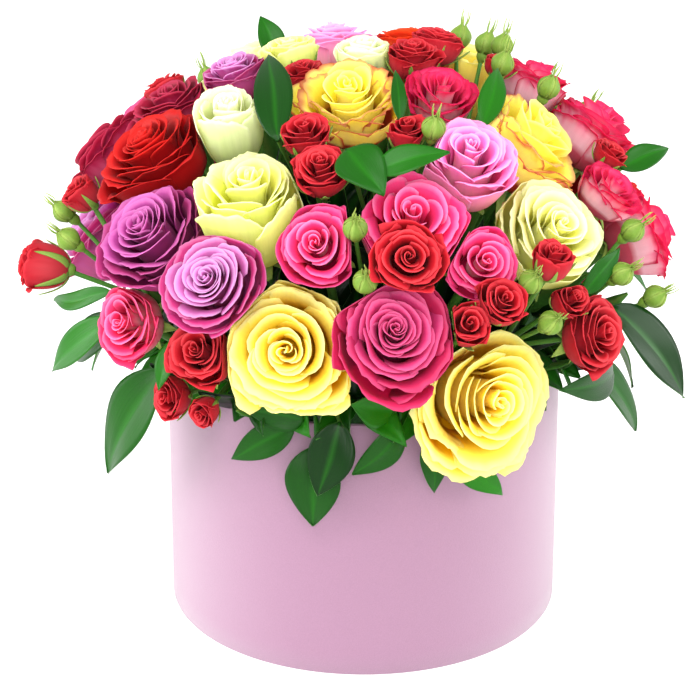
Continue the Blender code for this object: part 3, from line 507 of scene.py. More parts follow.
def ease_apart(blooms):
    """Push heads that crowd each other apart; the smaller one gives way more."""
    for _ in range(EASING_ROUNDS):
        for i, a in enumerate(blooms):
            for b in blooms[i + 1:]:
                gap = b.centre - a.centre
                distance = np.linalg.norm(gap)
                crowd = CROWDING * (a.radius + b.radius) - distance
                if crowd > 0:
                    share = b.radius ** 2 / (a.radius ** 2 + b.radius ** 2)
                    a.centre = a.centre - gap / distance * crowd * share * 0.5
                    b.centre = b.centre + gap / distance * crowd * (1 - share) * 0.5


def nearest_in_hull(points, target):
    """Nearest point to target in the convex hull of the points, by repeated steps to a corner."""
    near = points[np.argmin(np.linalg.norm(points - target, axis=1))]
    for _ in range(HULL_STEPS):
        corner = points[np.argmin((points - target) @ (near - target))]
        edge = corner - near
        length = edge @ edge
        if length < 1e-14:
            break
        near = near + edge * min(1.0, max(0.0, (target - near) @ edge / length))
    return near


def walls_of(bloom, blooms, obstacles):
    """Pairs of outward normal and distance, measured from the head's centre."""
    walls = []
    for other in blooms:
        if other.owner == bloom.owner:
            continue
        gap = other.centre - bloom.centre
        distance = np.linalg.norm(gap)
        if distance < bloom.length * bloom.radius + other.length * other.radius + NEAR:
            reach = (distance ** 2 + bloom.radius ** 2 - other.radius ** 2) / (2 * distance)
            walls.append((gap / distance, reach))
    for owner, points, margin in obstacles:
        if owner == bloom.owner:
            continue
        near = nearest_in_hull(points, bloom.centre)
        distance = np.linalg.norm(near - bloom.centre)
        if distance < NEAR_SHARE * bloom.length * bloom.radius + margin:
            normal = (near - bloom.centre) / distance
            walls.append((normal, min((points - bloom.centre) @ normal) - margin))
    return walls


def hold(points, bloom, walls, margin):
    """Bend points gently back behind the walls."""
    points = points - bloom.centre
    for normal, distance in walls:
        limit = distance - margin
        start = SQUEEZE_START * limit
        out = points @ normal
        eased = start + (limit - start) * (1 - np.exp(-(out - start) / (limit - start)))
        points = points + np.where(out > start, eased - out, 0.0)[:, None] * normal
    return points + bloom.centre


def stop_at(points, bloom, walls):
    """Leave no point past a wall."""
    points = points - bloom.centre
    for _ in range(WALL_ROUNDS):
        for normal, distance in walls:
            past = np.maximum(points @ normal - (distance - NEIGHBOUR_MARGIN), 0.0)
            points = points - past[:, None] * normal
    return points + bloom.centre


def stem_direction(target):
    """Unit vector from the focus towards a target, raised where it would meet the rim."""
    towards = unit(target - FOCUS)
    flat = math.hypot(towards[0], towards[1])
    elevation = math.degrees(math.atan2(towards[2], flat))
    azimuth = math.degrees(math.atan2(towards[0], -towards[1]))
    return direction(azimuth, max(elevation, LOWEST_STEM))


def single_stem(bloom):
    """Path of a rose's own stem, with a knee above the foam."""
    towards = stem_direction(bloom.base())
    return [FOCUS + STEM_END * towards, FOCUS + STEM_KNEE * towards, bloom.base()]


class Spray:
    """One stem from the foam, its fork, and what grows on it."""

    def __init__(self, name, items, blooms):
        self.name = name
        self.blooms = [b for b in blooms if b.owner == name]
        self.buds = []
        for azimuth, polar, lift, facing in items.get("buds", []):
            face = dome_point(azimuth, polar, lift / 1000)
            axis = direction(*facing) if facing else unit(face - FOCUS)
            self.buds.append((face - BUD_SEAT * axis, axis))
        self.leaves = [(ring_point(*base), ring_point(*tip), width / 1000)
                       for base, tip, width in items.get("leaves", [])]
        ends = [bloom.base() for bloom in self.blooms]
        ends += [part[0] for part in self.buds + self.leaves]
        middle = np.mean(ends, axis=0)
        beyond = FORK_SHARE * (np.linalg.norm(middle - FOCUS) - STEM_KNEE)
        reach = STEM_KNEE + FORK_STEP * (len(ends) - 1) + beyond
        self.towards = stem_direction(middle)
        self.fork = FOCUS + reach * self.towards

    def stem(self):
        return [FOCUS + STEM_END * self.towards, self.fork + STEM_RADIUS * self.towards]

    def branch_feet(self):
        """Fork points for the blooms, the buds and the leaves, in that order."""
        count = len(self.blooms) + len(self.buds) + len(self.leaves)
        feet = [self.fork - number * FORK_STEP * self.towards for number in range(count)]
        split = len(self.blooms)
        return feet[:split], feet[split:split + len(self.buds)], feet[split + len(self.buds):]


def leaf_outline(base, tip, width):
    """Corner points round a leaf, for the room that heads leave it."""
    length = np.linalg.norm(tip - base)
    along = (tip - base) / length
    out = leaf_outward(base, tip)
    side = np.cross(along, out)
    points = [base]
    for t, share in ((0.34, 1.0), (0.72, 0.74)):
        spine = base + along * length * t + out * LEAF_ARCH * length * 4 * t * (1 - t)
        half = 0.5 * width * share
        points += [spine + side * half * u + out * LEAF_FOLD * half * abs(u) for u in (-1, 0, 1)]
    return np.array(points + [tip])


def leaf_outward(base, tip):
    """Direction that a leaf's upper side looks."""
    along = unit(tip - base)
    out = (base + tip) / 2 - LEAF_CENTRE
    return unit(out - (out @ along) * along)


def obstacles_of(blooms, sprays):
    """Everything but the heads that a head has to make room for: owner, points and margin."""
    found = []
    for bloom in blooms:
        if bloom.owner not in SPRAYS:
            path = single_stem(bloom)
            found += [(bloom.owner, np.array(path[k:k + 2]), STEM_RADIUS + CLEARANCE) for k in (0, 1)]
    for spray in sprays:
        found.append((spray.name, np.array(spray.stem()), STEM_RADIUS + CLEARANCE))
        bloom_feet, bud_feet, leaf_feet = spray.branch_feet()
        for bloom, foot in zip(spray.blooms, bloom_feet):
            found.append((spray.name, np.array([foot, bloom.base()]), STEM_RADIUS + CLEARANCE))
        for (base, axis), foot in zip(spray.buds, bud_feet):
            found.append((spray.name, np.array([foot, base]), BRANCH_RADIUS + CLEARANCE))
            ring = axes_about(axis)[:, :2] @ np.array([[math.cos(a), math.sin(a)] for a in range(6)]).T
            sides = (base + BUD_WAIST * axis)[None, :] + BUD_ROOM * ring.T
            found.append((spray.name, np.vstack([base, sides, base + BUD_TIP * axis]), CLEARANCE))
        for (base, tip, width), foot in zip(spray.leaves, leaf_feet):
            points = leaf_outline(base, tip, width)
            margin = CLEARANCE + LEAF_ROOM
            found.append((spray.name, np.array([foot, base]), BRANCH_RADIUS + CLEARANCE))
            found += [(spray.name, part, margin) for part in (points[:4], points[1:7], points[4:])]
    around = np.linspace(0, 2 * math.pi, 64, endpoint=False)
    crown = [(FOAM_RADIUS * math.sin(a), mix(FOAM_SHOULDER, FOAM_TOP, math.cos(a))) for a in FOAM_CROWN]
    for radius, height in [(BOX_RADIUS, BOX_HEIGHT)] + crown[1:]:
        disc = np.stack([radius * np.cos(around), radius * np.sin(around), 0 * around + height], axis=1)
        found.append(("box", np.concatenate([disc, disc * [1, 1, 0]]), BOX_MARGIN))
    return found


# Meshes with a colour and a place on the surface at each point

def grid_faces(rows, columns, closed=False):
    """Quads between the points of a grid; closed joins the last column to the first."""
    r, c = np.meshgrid(np.arange(rows - 1), np.arange(columns - (0 if closed else 1)), indexing="ij")
    after = (c + 1) % columns
    corners = [r * columns + c, r * columns + after, (r + 1) * columns + after, (r + 1) * columns + c]
    return np.stack(corners, axis=-1).reshape(-1, 4)


def grid_places(across, along):
    """Places on the surface of a grid whose columns stand at across and whose rows at along."""
    both = np.broadcast_arrays(np.asarray(across)[None, :], np.asarray(along)[:, None])
    return np.stack(both, axis=-1).reshape(-1, 2)


class Skin:
    """Points, faces, colours and surface places of one piece, gathered from its parts."""

    def __init__(self):
        self.points = []
        self.colours = []
        self.places = []
        self.faces = []
        self.count = 0

    def add(self, points, faces, colours, places):
        self.points.append(points)
        self.colours.append(np.broadcast_to(colours, points.shape))
        self.places.append(places)
        self.faces.append(np.asarray(faces) + self.count)
        self.count += len(points)

    def sheet(self, middle, normals, thickness, face_colours, back_colours, u, v):
        """A thin closed sheet round a grid of middle points; the face looks along the normals."""
        rows, columns = middle.shape[:2]
        count = rows * columns
        quads = grid_faces(rows, columns)
        rim = np.concatenate([np.arange(columns), np.arange(1, rows) * columns + columns - 1,
                              (rows - 1) * columns + np.arange(columns - 2, -1, -1),
                              np.arange(rows - 2, 0, -1) * columns])
        after = np.roll(rim, -1)
        edge = np.stack([after, rim, rim + count, after + count], axis=1)
        points = np.concatenate([middle + normals * thickness / 2, middle - normals * thickness / 2])
        colours = np.concatenate([np.broadcast_to(face_colours, middle.shape),
                                  np.broadcast_to(back_colours, middle.shape)])
        places = np.stack([0.5 + 0.5 * u, v], axis=-1).reshape(-1, 2)
        self.add(points.reshape(-1, 3), np.concatenate([quads, quads[:, ::-1] + count, edge]),
                 colours.reshape(-1, 3), np.concatenate([places] * 2))

    def tube(self, path, radii, sides, colours):
        """A round tube along a path, closed at both ends by its narrowing."""
        path = np.asarray(path)
        angles = np.linspace(0, 2 * math.pi, sides, endpoint=False)
        rows = []
        first = None
        for k, point in enumerate(path):
            ahead = unit(path[min(k + 1, len(path) - 1)] - path[max(k - 1, 0)])
            if first is None:
                first = axes_about(ahead)[:, 0]
            first = unit(first - (first @ ahead) * ahead)
            second = np.cross(ahead, first)
            ring = np.outer(np.cos(angles), first) + np.outer(np.sin(angles), second)
            rows.append(point + radii[k] * ring)
        colours = np.repeat(np.broadcast_to(colours, (len(path), 3)), sides, axis=0)
        self.add(np.concatenate(rows), grid_faces(len(path), sides, closed=True), colours,
                 grid_places(np.linspace(0, 1, sides), np.linspace(0, 1, len(path))))

    def build(self, name, material):
        points = np.concatenate(self.points)
        faces = np.concatenate(self.faces)
        mesh = bpy.data.meshes.new(name)
        mesh.vertices.add(len(points))
        mesh.vertices.foreach_set("co", points.astype(np.float32).ravel())
        mesh.loops.add(faces.size)
        mesh.loops.foreach_set("vertex_index", faces.astype(np.int32).ravel())
        mesh.polygons.add(len(faces))
        mesh.polygons.foreach_set("loop_start", np.arange(0, faces.size, 4, dtype=np.int32))
        mesh.polygons.foreach_set("use_smooth", np.ones(len(faces), dtype=bool))
        mesh.update(calc_edges=True)
        colours = np.column_stack([np.concatenate(self.colours), np.ones(len(points))])
        tint = mesh.color_attributes.new("tint", "FLOAT_COLOR", "POINT")
        tint.data.foreach_set("color", colours.astype(np.float32).ravel())
        places = np.concatenate(self.places)[faces.ravel()]
        layer = mesh.uv_layers.new(name="place")
        layer.data.foreach_set("uv", places.astype(np.float32).ravel())
        mesh.validate()
        mesh.materials.append(material)
        made = bpy.data.objects.new(name, mesh)
        bpy.context.scene.collection.objects.link(made)
        return made


def surface_normals(grid):
    """Unit normals of a grid of points, by differences along its rows and columns."""
    along = np.gradient(grid, axis=0)
    across = np.gradient(grid, axis=1)
    normals = np.cross(across, along)
    length = np.linalg.norm(normals, axis=-1, keepdims=True)
    return normals / np.maximum(length, 1e-12)


# The rose

def bezier(knots, v):
    """Radius and height along the curve of four knots, at shares v of the way."""
    weights = [(1 - v) ** 3, 3 * v * (1 - v) ** 2, 3 * v * v * (1 - v), v ** 3]
    return [sum(weight * knot[i] for weight, knot in zip(weights, knots)) for i in (0, 1)]


def outmost_middle(opening, v):
    """Radius and height of the outmost petals' middle line, as in the solids."""
    tip = (0.78 + 0.24 * opening, 0.50 - 0.42 * opening)
    return bezier([(0.10, -0.78), (0.92, -0.74), (0.86, 0.18), tip], v)


def fine_middle(bloom, look, share, v):
    """Radius and height of a petal's middle line: steep in the heart, laid open further out.

    share is 0 for the inmost petal and 1 for the outmost.
    """
    spread = mix(0.0, 0.78 + 0.24 * bloom.opening, share)
    tip = spread * look["grow"] + 0.05 * math.sin(math.pi * share)
    sunk = look["drop"] * (0.12 + 0.42 * bloom.opening) * share ** 2
    top = 0.62 - sunk - look["cup"] * (1 - share) ** 2
    slope = math.radians(np.interp(share, [0.0, 0.25, 0.55, 0.85], look["slopes"]))
    reach = mix(0.30, 0.46, share)
    body = float(ease(0.80, 1.0, share))
    belly = (mix(0.12, 0.92 * look["grow"], share ** 1.2), mix(-0.64, -0.74, share))
    shoulder = (mix(max(tip - reach * math.cos(slope), 0.02), 0.86 * look["grow"], body),
                mix(top - reach * math.sin(slope), 0.18, body))
    return bezier([(0.10, -0.78), belly, shoulder, (tip, top)], v)


def petal_plan(bloom, look, rng):
    """Share, middle angle and half width of each petal, from the outmost to the inmost."""
    outer = 5 if bloom.radius > LARGE_BLOOM else 4 if bloom.radius > SMALL_BLOOM else 3
    layers = {5: look["layers"], 4: max(21, int(look["layers"] * 0.85)), 3: 15}[outer]
    around = look["around"] or outer
    step = 2 * math.pi / around
    plan = []
    for whorl, share in enumerate(look["whorls"][:2] if outer == 3 else look["whorls"]):
        shift = 0.5 * ((whorl + 1) % 2) + 0.09 * whorl
        for p in range(around):
            turn = rng.normal(0, 0.07) * (whorl > 0)
            near = share - rng.uniform(0, 0.05) * (whorl > 0)
            plan.append((near, step * (p + shift + turn) + bloom.turn,
                         step * look["wide"] * rng.uniform(0.58, 0.68)))
    inner = layers - len(plan)
    first = look["core"] if outer > 3 else 0.70
    for k in range(inner):
        share = mix(first, 0.03, (k / (inner - 1)) ** 0.85) + rng.normal(0, 0.012) * (k < inner - 3)
        angle = bloom.turn + GOLDEN_TURN * (k + 1) + rng.normal(0, 0.35)
        plan.append((max(share, 0.03), angle, mix(2.3, 0.95, share ** 0.5) * rng.uniform(0.85, 1.15)))
    return plan


def add_heart(skin, bloom, look):
    """The closed middle of a head, low between the inmost petals."""
    profile = [(0.40, -0.70), (0.30, -0.20), (0.20, 0.00), (0.10, 0.12), (0.03, 0.16), (0.001, 0.165)]
    path = [bloom.centre + bloom.radius * bloom.length * z * bloom.axis for _, z in profile]
    # The plug's low part takes the deep colour, which is partly painted shade.
    colours = np.array([look["deep_and_shade"]] * 4 + [look["heart"]] * 2)
    skin.tube(path, [bloom.radius * r for r, _ in profile], HEAD_SIDES, colours)


def waves(u, phases, *terms):
    """Sum of waves along u; each term is a strength and a frequency."""
    return sum(strength * np.sin(often * u + phase) for (strength, often), phase in zip(terms, phases))


def petal_grid(bloom, look, rng, share, middle, half, columns, rows):
    """Middle points of one petal in the head's own frame, with the shares u across and v up it."""
    swirl = 1 if bloom.index % 3 else -1
    low = 0.0 if share > 0.8 else 0.30
    u, v = np.meshgrid(np.linspace(-1, 1, columns), np.linspace(low, 1, rows) ** 0.85)
    phase = rng.uniform(0, 2 * math.pi, 9)
    fray = look["notch"] * mix(0.15, 1.7, share ** 4) * waves(u, phase[:3], (1, 8), (0.8, 15), (0.7, 26))
    tip = 0.035 * share * np.exp(-(u / 0.16) ** 2)
    reach = v * (1 - 0.13 * np.abs(u) ** 3.5 + (fray + tip) * v ** 5)
    radius, height = fine_middle(bloom, look, share, reach)
    tuck = swirl * rng.uniform(0.04, 0.09) * u * mix(0.5, 1.0, share) * v
    radius = radius + tuck + rng.normal(0, 0.035) * (u ** 2 - 0.4) * v * share ** 0.5
    height = height + rng.normal(0, 0.03) * v ** 2 * (share < 0.9) + rng.normal(0, 0.03) * u * v ** 2
    roll = ease(0.70, 1.0, v) ** 1.8 * look["curl"] * share ** 1.1 * rng.uniform(0.5, 1.3)
    roll = roll * (0.20 + 0.80 * np.abs(u) ** 2.2)
    ruffle = look["ruffle"] * mix(0.35, 1.0, share)
    bend = waves(u, phase[3:5], (1, 2.3), (0.6, 4.7)) * v ** 3
    wave = waves(u, phase[5:7], (0.6, 9.5), (0.45, 17)) * v ** 8
    radius = radius + roll + ruffle * (bend + 0.6 * share ** 2 * wave)
    lift = np.sin(3.1 * u + phase[7]) * v ** 3 + 0.5 * share ** 2 * np.sin(12 * u + phase[8]) * v ** 8
    height = height - 0.8 * roll + 0.6 * ruffle * lift
    narrow = 0.62 + 0.38 * np.sin(0.5 * math.pi * np.clip(v / 0.62, 0, 1)) - 0.10 * ease(0.8, 1.0, v)
    angle = middle + u * half * narrow
    oval = 0.045 * np.sin(2 * angle + 2.1 * bloom.index) + 0.035 * np.sin(3 * angle + 3.7 * bloom.index)
    radius = radius * (1 + oval * mix(0.3, 1.0, share))
    return np.stack([radius * np.cos(angle), radius * np.sin(angle), height], axis=-1), u, v


def blend_along(stops, x):
    """Colours at x between stops; each stop is a mark and a colour."""
    marks, colours = zip(*stops)
    return np.stack([np.interp(x, marks, [c[i] for c in colours]) for i in range(3)], axis=-1)


def petal_colours(look, rng, share, u, v):
    """Colours of a petal's face and back."""
    outer = look["outer"] if look["outer"] is not None else look["face"]
    outness = float(ease(0.66, 0.86, share))
    body = mix(mix(look["heart"], look["face"], min(1.0, share / 0.45)), outer, outness)
    edge = mix(look["edge"], outer, 0.6 * outness)
    # Low on the face the deep colour is partly the petal's own and partly painted shade of the hollow
    # between petals; at the rim the edge colour is partly the rim's own and partly painted highlight.
    depth = mix(0.55, 0.25, share)
    face = blend_along([(mix(depth, 1.0, 0.40), look["deep_and_shade"]),
                        (mix(depth, 1.0, 0.72), mix(look["deep_and_shade"], body, 0.6)),
                        (mix(depth, 1.0, 0.90), body), (1.0, edge)], v)
    # The outer side also turns to the edge colour at the rim, which is partly painted highlight.
    low, high, pale = look["back_low"], look["back_high"], look["pale"]
    streak = 0.05 * np.sin(9 * u + rng.uniform(0, 6)) + 0.04 * np.sin(21 * u + rng.uniform(0, 6))
    back = blend_along([(0.15, low), (pale, mix(low, high, 0.35)), (mix(pale, 1.0, 0.55), high),
                        (mix(pale, 1.0, 0.87), mix(high, body, 0.6)), (1.0, edge)],
                       np.clip(v + streak * (v < 0.98), 0, 1))
    if look["margin"] is not None:
        rim = np.maximum(v, 1 - 1.6 * (1 - np.abs(u)) * (v > 0.5))
        wander = 0.35 * np.sin(4 * u + rng.uniform(0, 6)) + 0.25 * np.sin(11 * u + rng.uniform(0, 6))
        width = look["margin_width"] * (1 + wander) * mix(0.35, 1.0, share)
        weight = ease(0.25, 0.75, (rim - (1 - width)) / np.maximum(width, 1e-6))[..., None]
        weight = 0.85 * weight * float(ease(look["margin_from"], 0.95, share))
        face = mix(face, look["margin"], weight)
        back = mix(back, look["margin"], weight)
    tone = rng.normal(1.0, 0.035)
    return face * tone, back * tone


def in_place(bloom, axes, local):
    """Points given in shares of the head's radius, drawn out along its axis and set in their place."""
    drawn = bloom.radius * local.reshape(-1, 3) * [1.0, 1.0, bloom.length]
    return bloom.centre + drawn @ axes.T


def fineness(bloom, share):
    """Columns and rows of a petal's grid: fewer on small heads and at the back."""
    if bloom.radius <= SMALL_BLOOM:
        return 9, 7
    columns = 19 if share > 0.7 else 13
    rows = 12 if share > 0.8 else 8
    if math.cos(math.atan2(bloom.centre[0], -bloom.centre[1])) < -0.2:
        return columns - 4, rows - 2
    return columns, rows


def add_head(skin, bloom, look, walls):
    """The petals of one head."""
    rng = np.random.default_rng(HEAD_SEED + bloom.index)
    axes = axes_about(bloom.axis)
    add_heart(skin, bloom, look)
    for share, middle, half in petal_plan(bloom, look, rng):
        middle = middle + rng.normal(0, 0.05)
        grid, u, v = petal_grid(bloom, look, rng, share, middle, half, *fineness(bloom, share))
        world = hold(in_place(bloom, axes, grid), bloom, walls, MIDDLE_MARGIN)
        world = stop_at(world, bloom, walls).reshape(grid.shape)
        face, back = petal_colours(look, rng, share, u, v)
        skin.sheet(world, -surface_normals(world), PETAL_THICKNESS * bloom.radius, face, back, u, v)


# Green parts

def add_calyx(skin, bloom, walls):
    """The hip under a head and its five sepals, which hug a small head and stand off a large one."""
    rng = np.random.default_rng(CALYX_SEED + bloom.index)
    axes = axes_about(bloom.axis, bloom.turn)
    hugging = bloom.radius < HUGGED_BLOOM
    width = bloom.radius * (1.35 if hugging else 0.85)
    hip = [(-0.30, 0.10), (-0.26, 0.15), (-0.18, 0.19), (-0.10, 0.19), (-0.02, 0.15)]
    path = [bloom.centre + bloom.axis * bloom.radius * bloom.length * (z - BASE_DEPTH) for z, _ in hip]
    skin.tube(path, [r * width for _, r in hip], HEAD_SIDES, SEPAL_GREEN)
    for k in range(5):
        angle = 2 * math.pi * k / 5 + rng.normal(0, 0.1)
        t, u = np.meshgrid(np.linspace(0, 1, 9), np.linspace(-1, 1, 5), indexing="ij")
        if hugging:
            flare = rng.uniform(0.0, 0.35)
            radius, height = outmost_middle(bloom.opening, 0.75 * t)
            radius = radius + 0.05 + flare * t ** 2
            height = height - 0.5 * flare * t ** 2
            spread = 0.42 * (1 - t) ** 0.7
        else:
            radius = 0.10 + 0.62 * t
            height = -0.74 - 0.10 * t - rng.uniform(0.1, 0.5) * t ** 2
            spread = 0.55 * (1 - t) ** 0.8
        across = u * spread * 0.5 * np.where(t < 0.1, 0.7, 1.0)
        local = np.stack([radius * math.cos(angle) - across * math.sin(angle),
                          radius * math.sin(angle) + across * math.cos(angle),
                          height + 0.04 * np.abs(u)], axis=-1)
        world = stop_at(in_place(bloom, axes, local), bloom, walls).reshape(local.shape)
        skin.sheet(world, -surface_normals(world), SEPAL_THICKNESS, mix(SEPAL_GREEN, BUD_PALE, 0.5),
                   mix(SEPAL_GREEN, BUD_PALE, 0.25), u, t)


def add_bud(skin, base, axis, seed):
    """A closed green bud: hip, body and five sepals with drawn-out tips."""
    rng = np.random.default_rng(seed)
    axes = axes_about(axis, rng.uniform(0, 6))
    heights = np.array([-1.0, 0.6, 2.2, 4.0, 5.2, 6.6, 8.6, 10.8, 13.0, 15.0, 16.5, 17.2]) / 1000
    radii = np.array([1.2, 2.3, 3.2, 3.3, 3.2, 4.5, 5.6, 5.9, 5.2, 3.6, 1.6, 0.3]) / 1000
    seat, top, free_from = 0.0048, heights[-1], 0.72
    tones = [mix(BUD_GREEN, BUD_PALE, ease(0.004, 0.012, z) * 0.5) for z in heights]
    skin.tube([base + axis * z for z in heights], radii, BUD_SIDES, np.array(tones))
    for k in range(5):
        angle = 2 * math.pi * k / 5 + rng.normal(0, 0.08)
        t, u = np.meshgrid(np.linspace(0, 1, 12), np.linspace(-1, 1, 5), indexing="ij")
        height = mix(seat, top, t / free_from)
        body = np.interp(height, heights, radii)
        free = ease(0.66, 1.0, t)
        radius = np.where(t < free_from, body + 0.0004, 0.0014) + free * rng.uniform(0.001, 0.005)
        height = np.where(t < free_from, height, top + (t - free_from) * rng.uniform(0.020, 0.034))
        spread = np.interp(t, [0, 0.3, 0.55, 0.75, 1.0], [0.5, 0.60, 0.5, 0.30, 0.02])
        twist = angle + u * spread + free * rng.normal(0, 0.5)
        local = np.stack([radius * np.cos(twist), radius * np.sin(twist), height], axis=-1)
        narrow = (1 - 0.6 * free)[..., None] * np.array([1, 1, 0]) + np.array([0, 0, 1])
        world = base + (local * np.where(t[..., None] > 0.7, narrow, 1.0)) @ axes.T
        back = mix(BUD_GREEN, BUD_PALE, 0.35 * np.abs(u)[..., None] ** 3)
        skin.sheet(world, -surface_normals(world), BUD_SEPAL_THICKNESS, BUD_PALE, back, u, t)


def add_leaf(skin, base, tip, width, seed, rows=19, columns=11, in_painted_shade=False):
    """A leaf between its base and tip: folded midrib, arched, gently waved. One in painted shade is
    painted dark.
    """
    rng = np.random.default_rng(seed)
    length = np.linalg.norm(tip - base)
    along = (tip - base) / length
    out = leaf_outward(base, tip)
    side = np.cross(along, out)
    t, u = np.meshgrid(np.linspace(0, 1, rows), np.linspace(-1, 1, columns), indexing="ij")
    half = 0.5 * width * np.sin(math.pi * np.clip(t, 0.004, 0.997) ** 0.74) ** 0.88
    wave = 0.034 * width * np.sin(7 * t + 2 * u + rng.uniform(0, 6)) * np.abs(u)
    bend = rng.normal(0, 0.03) * length * np.sin(math.pi * t) ** 2
    groove = 0.02 * width * np.exp(-(u / 0.12) ** 2) * np.sin(math.pi * t)
    rise = LEAF_ARCH * length * 4 * t * (1 - t) + LEAF_FOLD * half * np.abs(u) ** 1.2 - groove + wave
    world = (base + along * (length * t)[..., None] + out * rise[..., None]
             + side * (half * u + bend)[..., None])
    # Painted shade: a leaf low among the stems takes the darkest green, and below its colour is cut to
    # 0.45.
    shade = 0.0 if in_painted_shade else rng.uniform(0.0, 0.8)
    rib = np.exp(-(u / 0.05) ** 2)[..., None]
    face = mix(mix(LEAF_TOP, LEAF_TOP_LIGHT, shade), LEAF_TOP_LIGHT, 0.30 * rib)
    face = face * (1 - 0.12 * np.abs(u)[..., None] ** 2) * (0.45 if in_painted_shade else 1.0)
    normals = surface_normals(world)
    normals = normals * np.sign(out @ normals[rows // 2, columns // 2])
    skin.sheet(world, normals, LEAF_THICKNESS, face, mix(LEAF_UNDER, BUD_PALE, 0.3 * rib), u, t)


def curve(points, count):
    """Smooth path through three points, or a straight one between two."""
    t = np.linspace(0, 1, count)[:, None]
    if len(points) == 2:
        return points[0] * (1 - t) + points[1] * t
    a, b, c = points
    handle = 2 * b - 0.5 * (a + c)
    return (1 - t) ** 2 * a + 2 * t * (1 - t) * handle + t ** 2 * c


def add_stem(skin, path, radius, seed, count=10):
    """A round stem along a path, painted darker near the foam as painted shade."""
    rng = np.random.default_rng(seed)
    line = curve(path, count)
    tone = mix(STEM_GREEN, LEAF_TOP_LIGHT, rng.uniform(0.1, 0.5))
    # Painted shade: towards the foam the colour falls to a quarter, where the heads shade the stem.
    depth = ease(STEM_END, STEM_KNEE + 0.06, np.linalg.norm(line - FOCUS, axis=1))
    skin.tube(line, np.full(count, radius), STEM_SIDES, tone * mix(0.25, 1.0, depth)[:, None])


# Materials

def new_material(name):
    made = bpy.data.materials.new(name)
    made.use_nodes = True
    tree = made.node_tree
    return made, tree, tree.nodes["Principled BSDF"], tree.nodes["Material Output"]


def set_inputs(made, values):
    for key, value in values.items():
        made.inputs[key].default_value = value
    return made


def node(tree, kind, values=None, **settings):
    made = tree.nodes.new(kind)
    for key, value in settings.items():
        setattr(made, key, value)
    return set_inputs(made, values or {})


def multiply(tree, colour, grey):
    """Colour multiplied by a grey value."""
    made = node(tree, "ShaderNodeMix", data_type="RGBA", blend_type="MULTIPLY")
    made.inputs["Factor"].default_value = 1.0
    tree.links.new(colour, made.inputs["A"])
    tree.links.new(grey, made.inputs["B"])
    return made.outputs["Result"]


def stretched_noise(tree, across, along, detail=3.0):
    """Noise drawn out along the petal or leaf, by the surface's own places."""
    place = node(tree, "ShaderNodeUVMap", uv_map="place")
    scale = node(tree, "ShaderNodeMapping", {"Scale": (across, along, 1.0)})
    noise = node(tree, "ShaderNodeTexNoise", {"Scale": 1.0, "Detail": detail, "Roughness": 0.6})
    tree.links.new(place.outputs["UV"], scale.inputs["Vector"])
    tree.links.new(scale.outputs["Vector"], noise.inputs["Vector"])
    return noise.outputs["Fac"]


def remap(tree, value, low, high):
    made = node(tree, "ShaderNodeMapRange", {"To Min": low, "To Max": high})
    tree.links.new(value, made.inputs["Value"])
    return made.outputs["Result"]


def tinted_surface(tree, shader, veins, vein_range, blotches, blotch_range, bump):
    """Give a shader the mesh's tint, with veins along the surface and blotches. Returns the colour."""
    tint = node(tree, "ShaderNodeAttribute", attribute_name="tint")
    vein = stretched_noise(tree, *veins)
    blotch = node(tree, "ShaderNodeTexNoise", blotches)
    colour = multiply(tree, tint.outputs["Color"], remap(tree, vein, *vein_range))
    colour = multiply(tree, colour, remap(tree, blotch.outputs["Fac"], *blotch_range))
    rough = node(tree, "ShaderNodeBump", bump)
    tree.links.new(vein, rough.inputs["Height"])
    tree.links.new(colour, shader.inputs["Base Color"])
    tree.links.new(rough.outputs["Normal"], shader.inputs["Normal"])
    return colour


def petal_material(name, roughness, clear):
    """Soft petal with fine veins; clear is the share of light that shines through."""
    made, tree, shader, output = new_material(name)
    colour = tinted_surface(tree, shader, (26.0, 2.5), (0.90, 1.05), {"Scale": 160.0, "Detail": 2.0},
                            (0.96, 1.04), {"Strength": 0.20, "Distance": 0.0004})
    set_inputs(shader, {"Roughness": roughness, "Specular IOR Level": 0.22, "Sheen Weight": 0.03,
                        "Sheen Roughness": 0.5})
    through = node(tree, "ShaderNodeBsdfTranslucent")
    tree.links.new(colour, through.inputs["Color"])
    both = node(tree, "ShaderNodeMixShader", {"Fac": clear})
    tree.links.new(shader.outputs["BSDF"], both.inputs[1])
    tree.links.new(through.outputs["BSDF"], both.inputs[2])
    tree.links.new(both.outputs["Shader"], output.inputs["Surface"])
    return made


def green_material(name, roughness, vein_across, bump_distance):
    """Waxy leaf or stem with fine lengthways veins."""
    made, tree, shader, _ = new_material(name)
    tinted_surface(tree, shader, (vein_across, 1.5), (0.78, 1.18), {"Scale": 90.0, "Detail": 3.0},
                   (0.80, 1.20), {"Strength": 0.3, "Distance": bump_distance})
    set_inputs(shader, {"Roughness": roughness, "Specular IOR Level": 0.12})
    return made


def clouded_material(name, first, second, noise, spread, bump, surface):
    """Noise that blends two colours and roughens the surface.

    spread is how far the blend is pushed past either colour.
    """
    made, tree, shader, _ = new_material(name)
    place = node(tree, "ShaderNodeTexCoord")
    cloud = node(tree, "ShaderNodeTexNoise", noise)
    tree.links.new(place.outputs["Object"], cloud.inputs["Vector"])
    blend = node(tree, "ShaderNodeMix", data_type="RGBA")
    blend.inputs["A"].default_value = (*first, 1.0)
    blend.inputs["B"].default_value = (*second, 1.0)
    tree.links.new(remap(tree, cloud.outputs["Fac"], -spread, 1 + spread), blend.inputs["Factor"])
    rough = node(tree, "ShaderNodeBump", bump)
    tree.links.new(cloud.outputs["Fac"], rough.inputs["Height"])
    tree.links.new(blend.outputs["Result"], shader.inputs["Base Color"])
    tree.links.new(rough.outputs["Normal"], shader.inputs["Normal"])
    set_inputs(shader, surface)
    return made


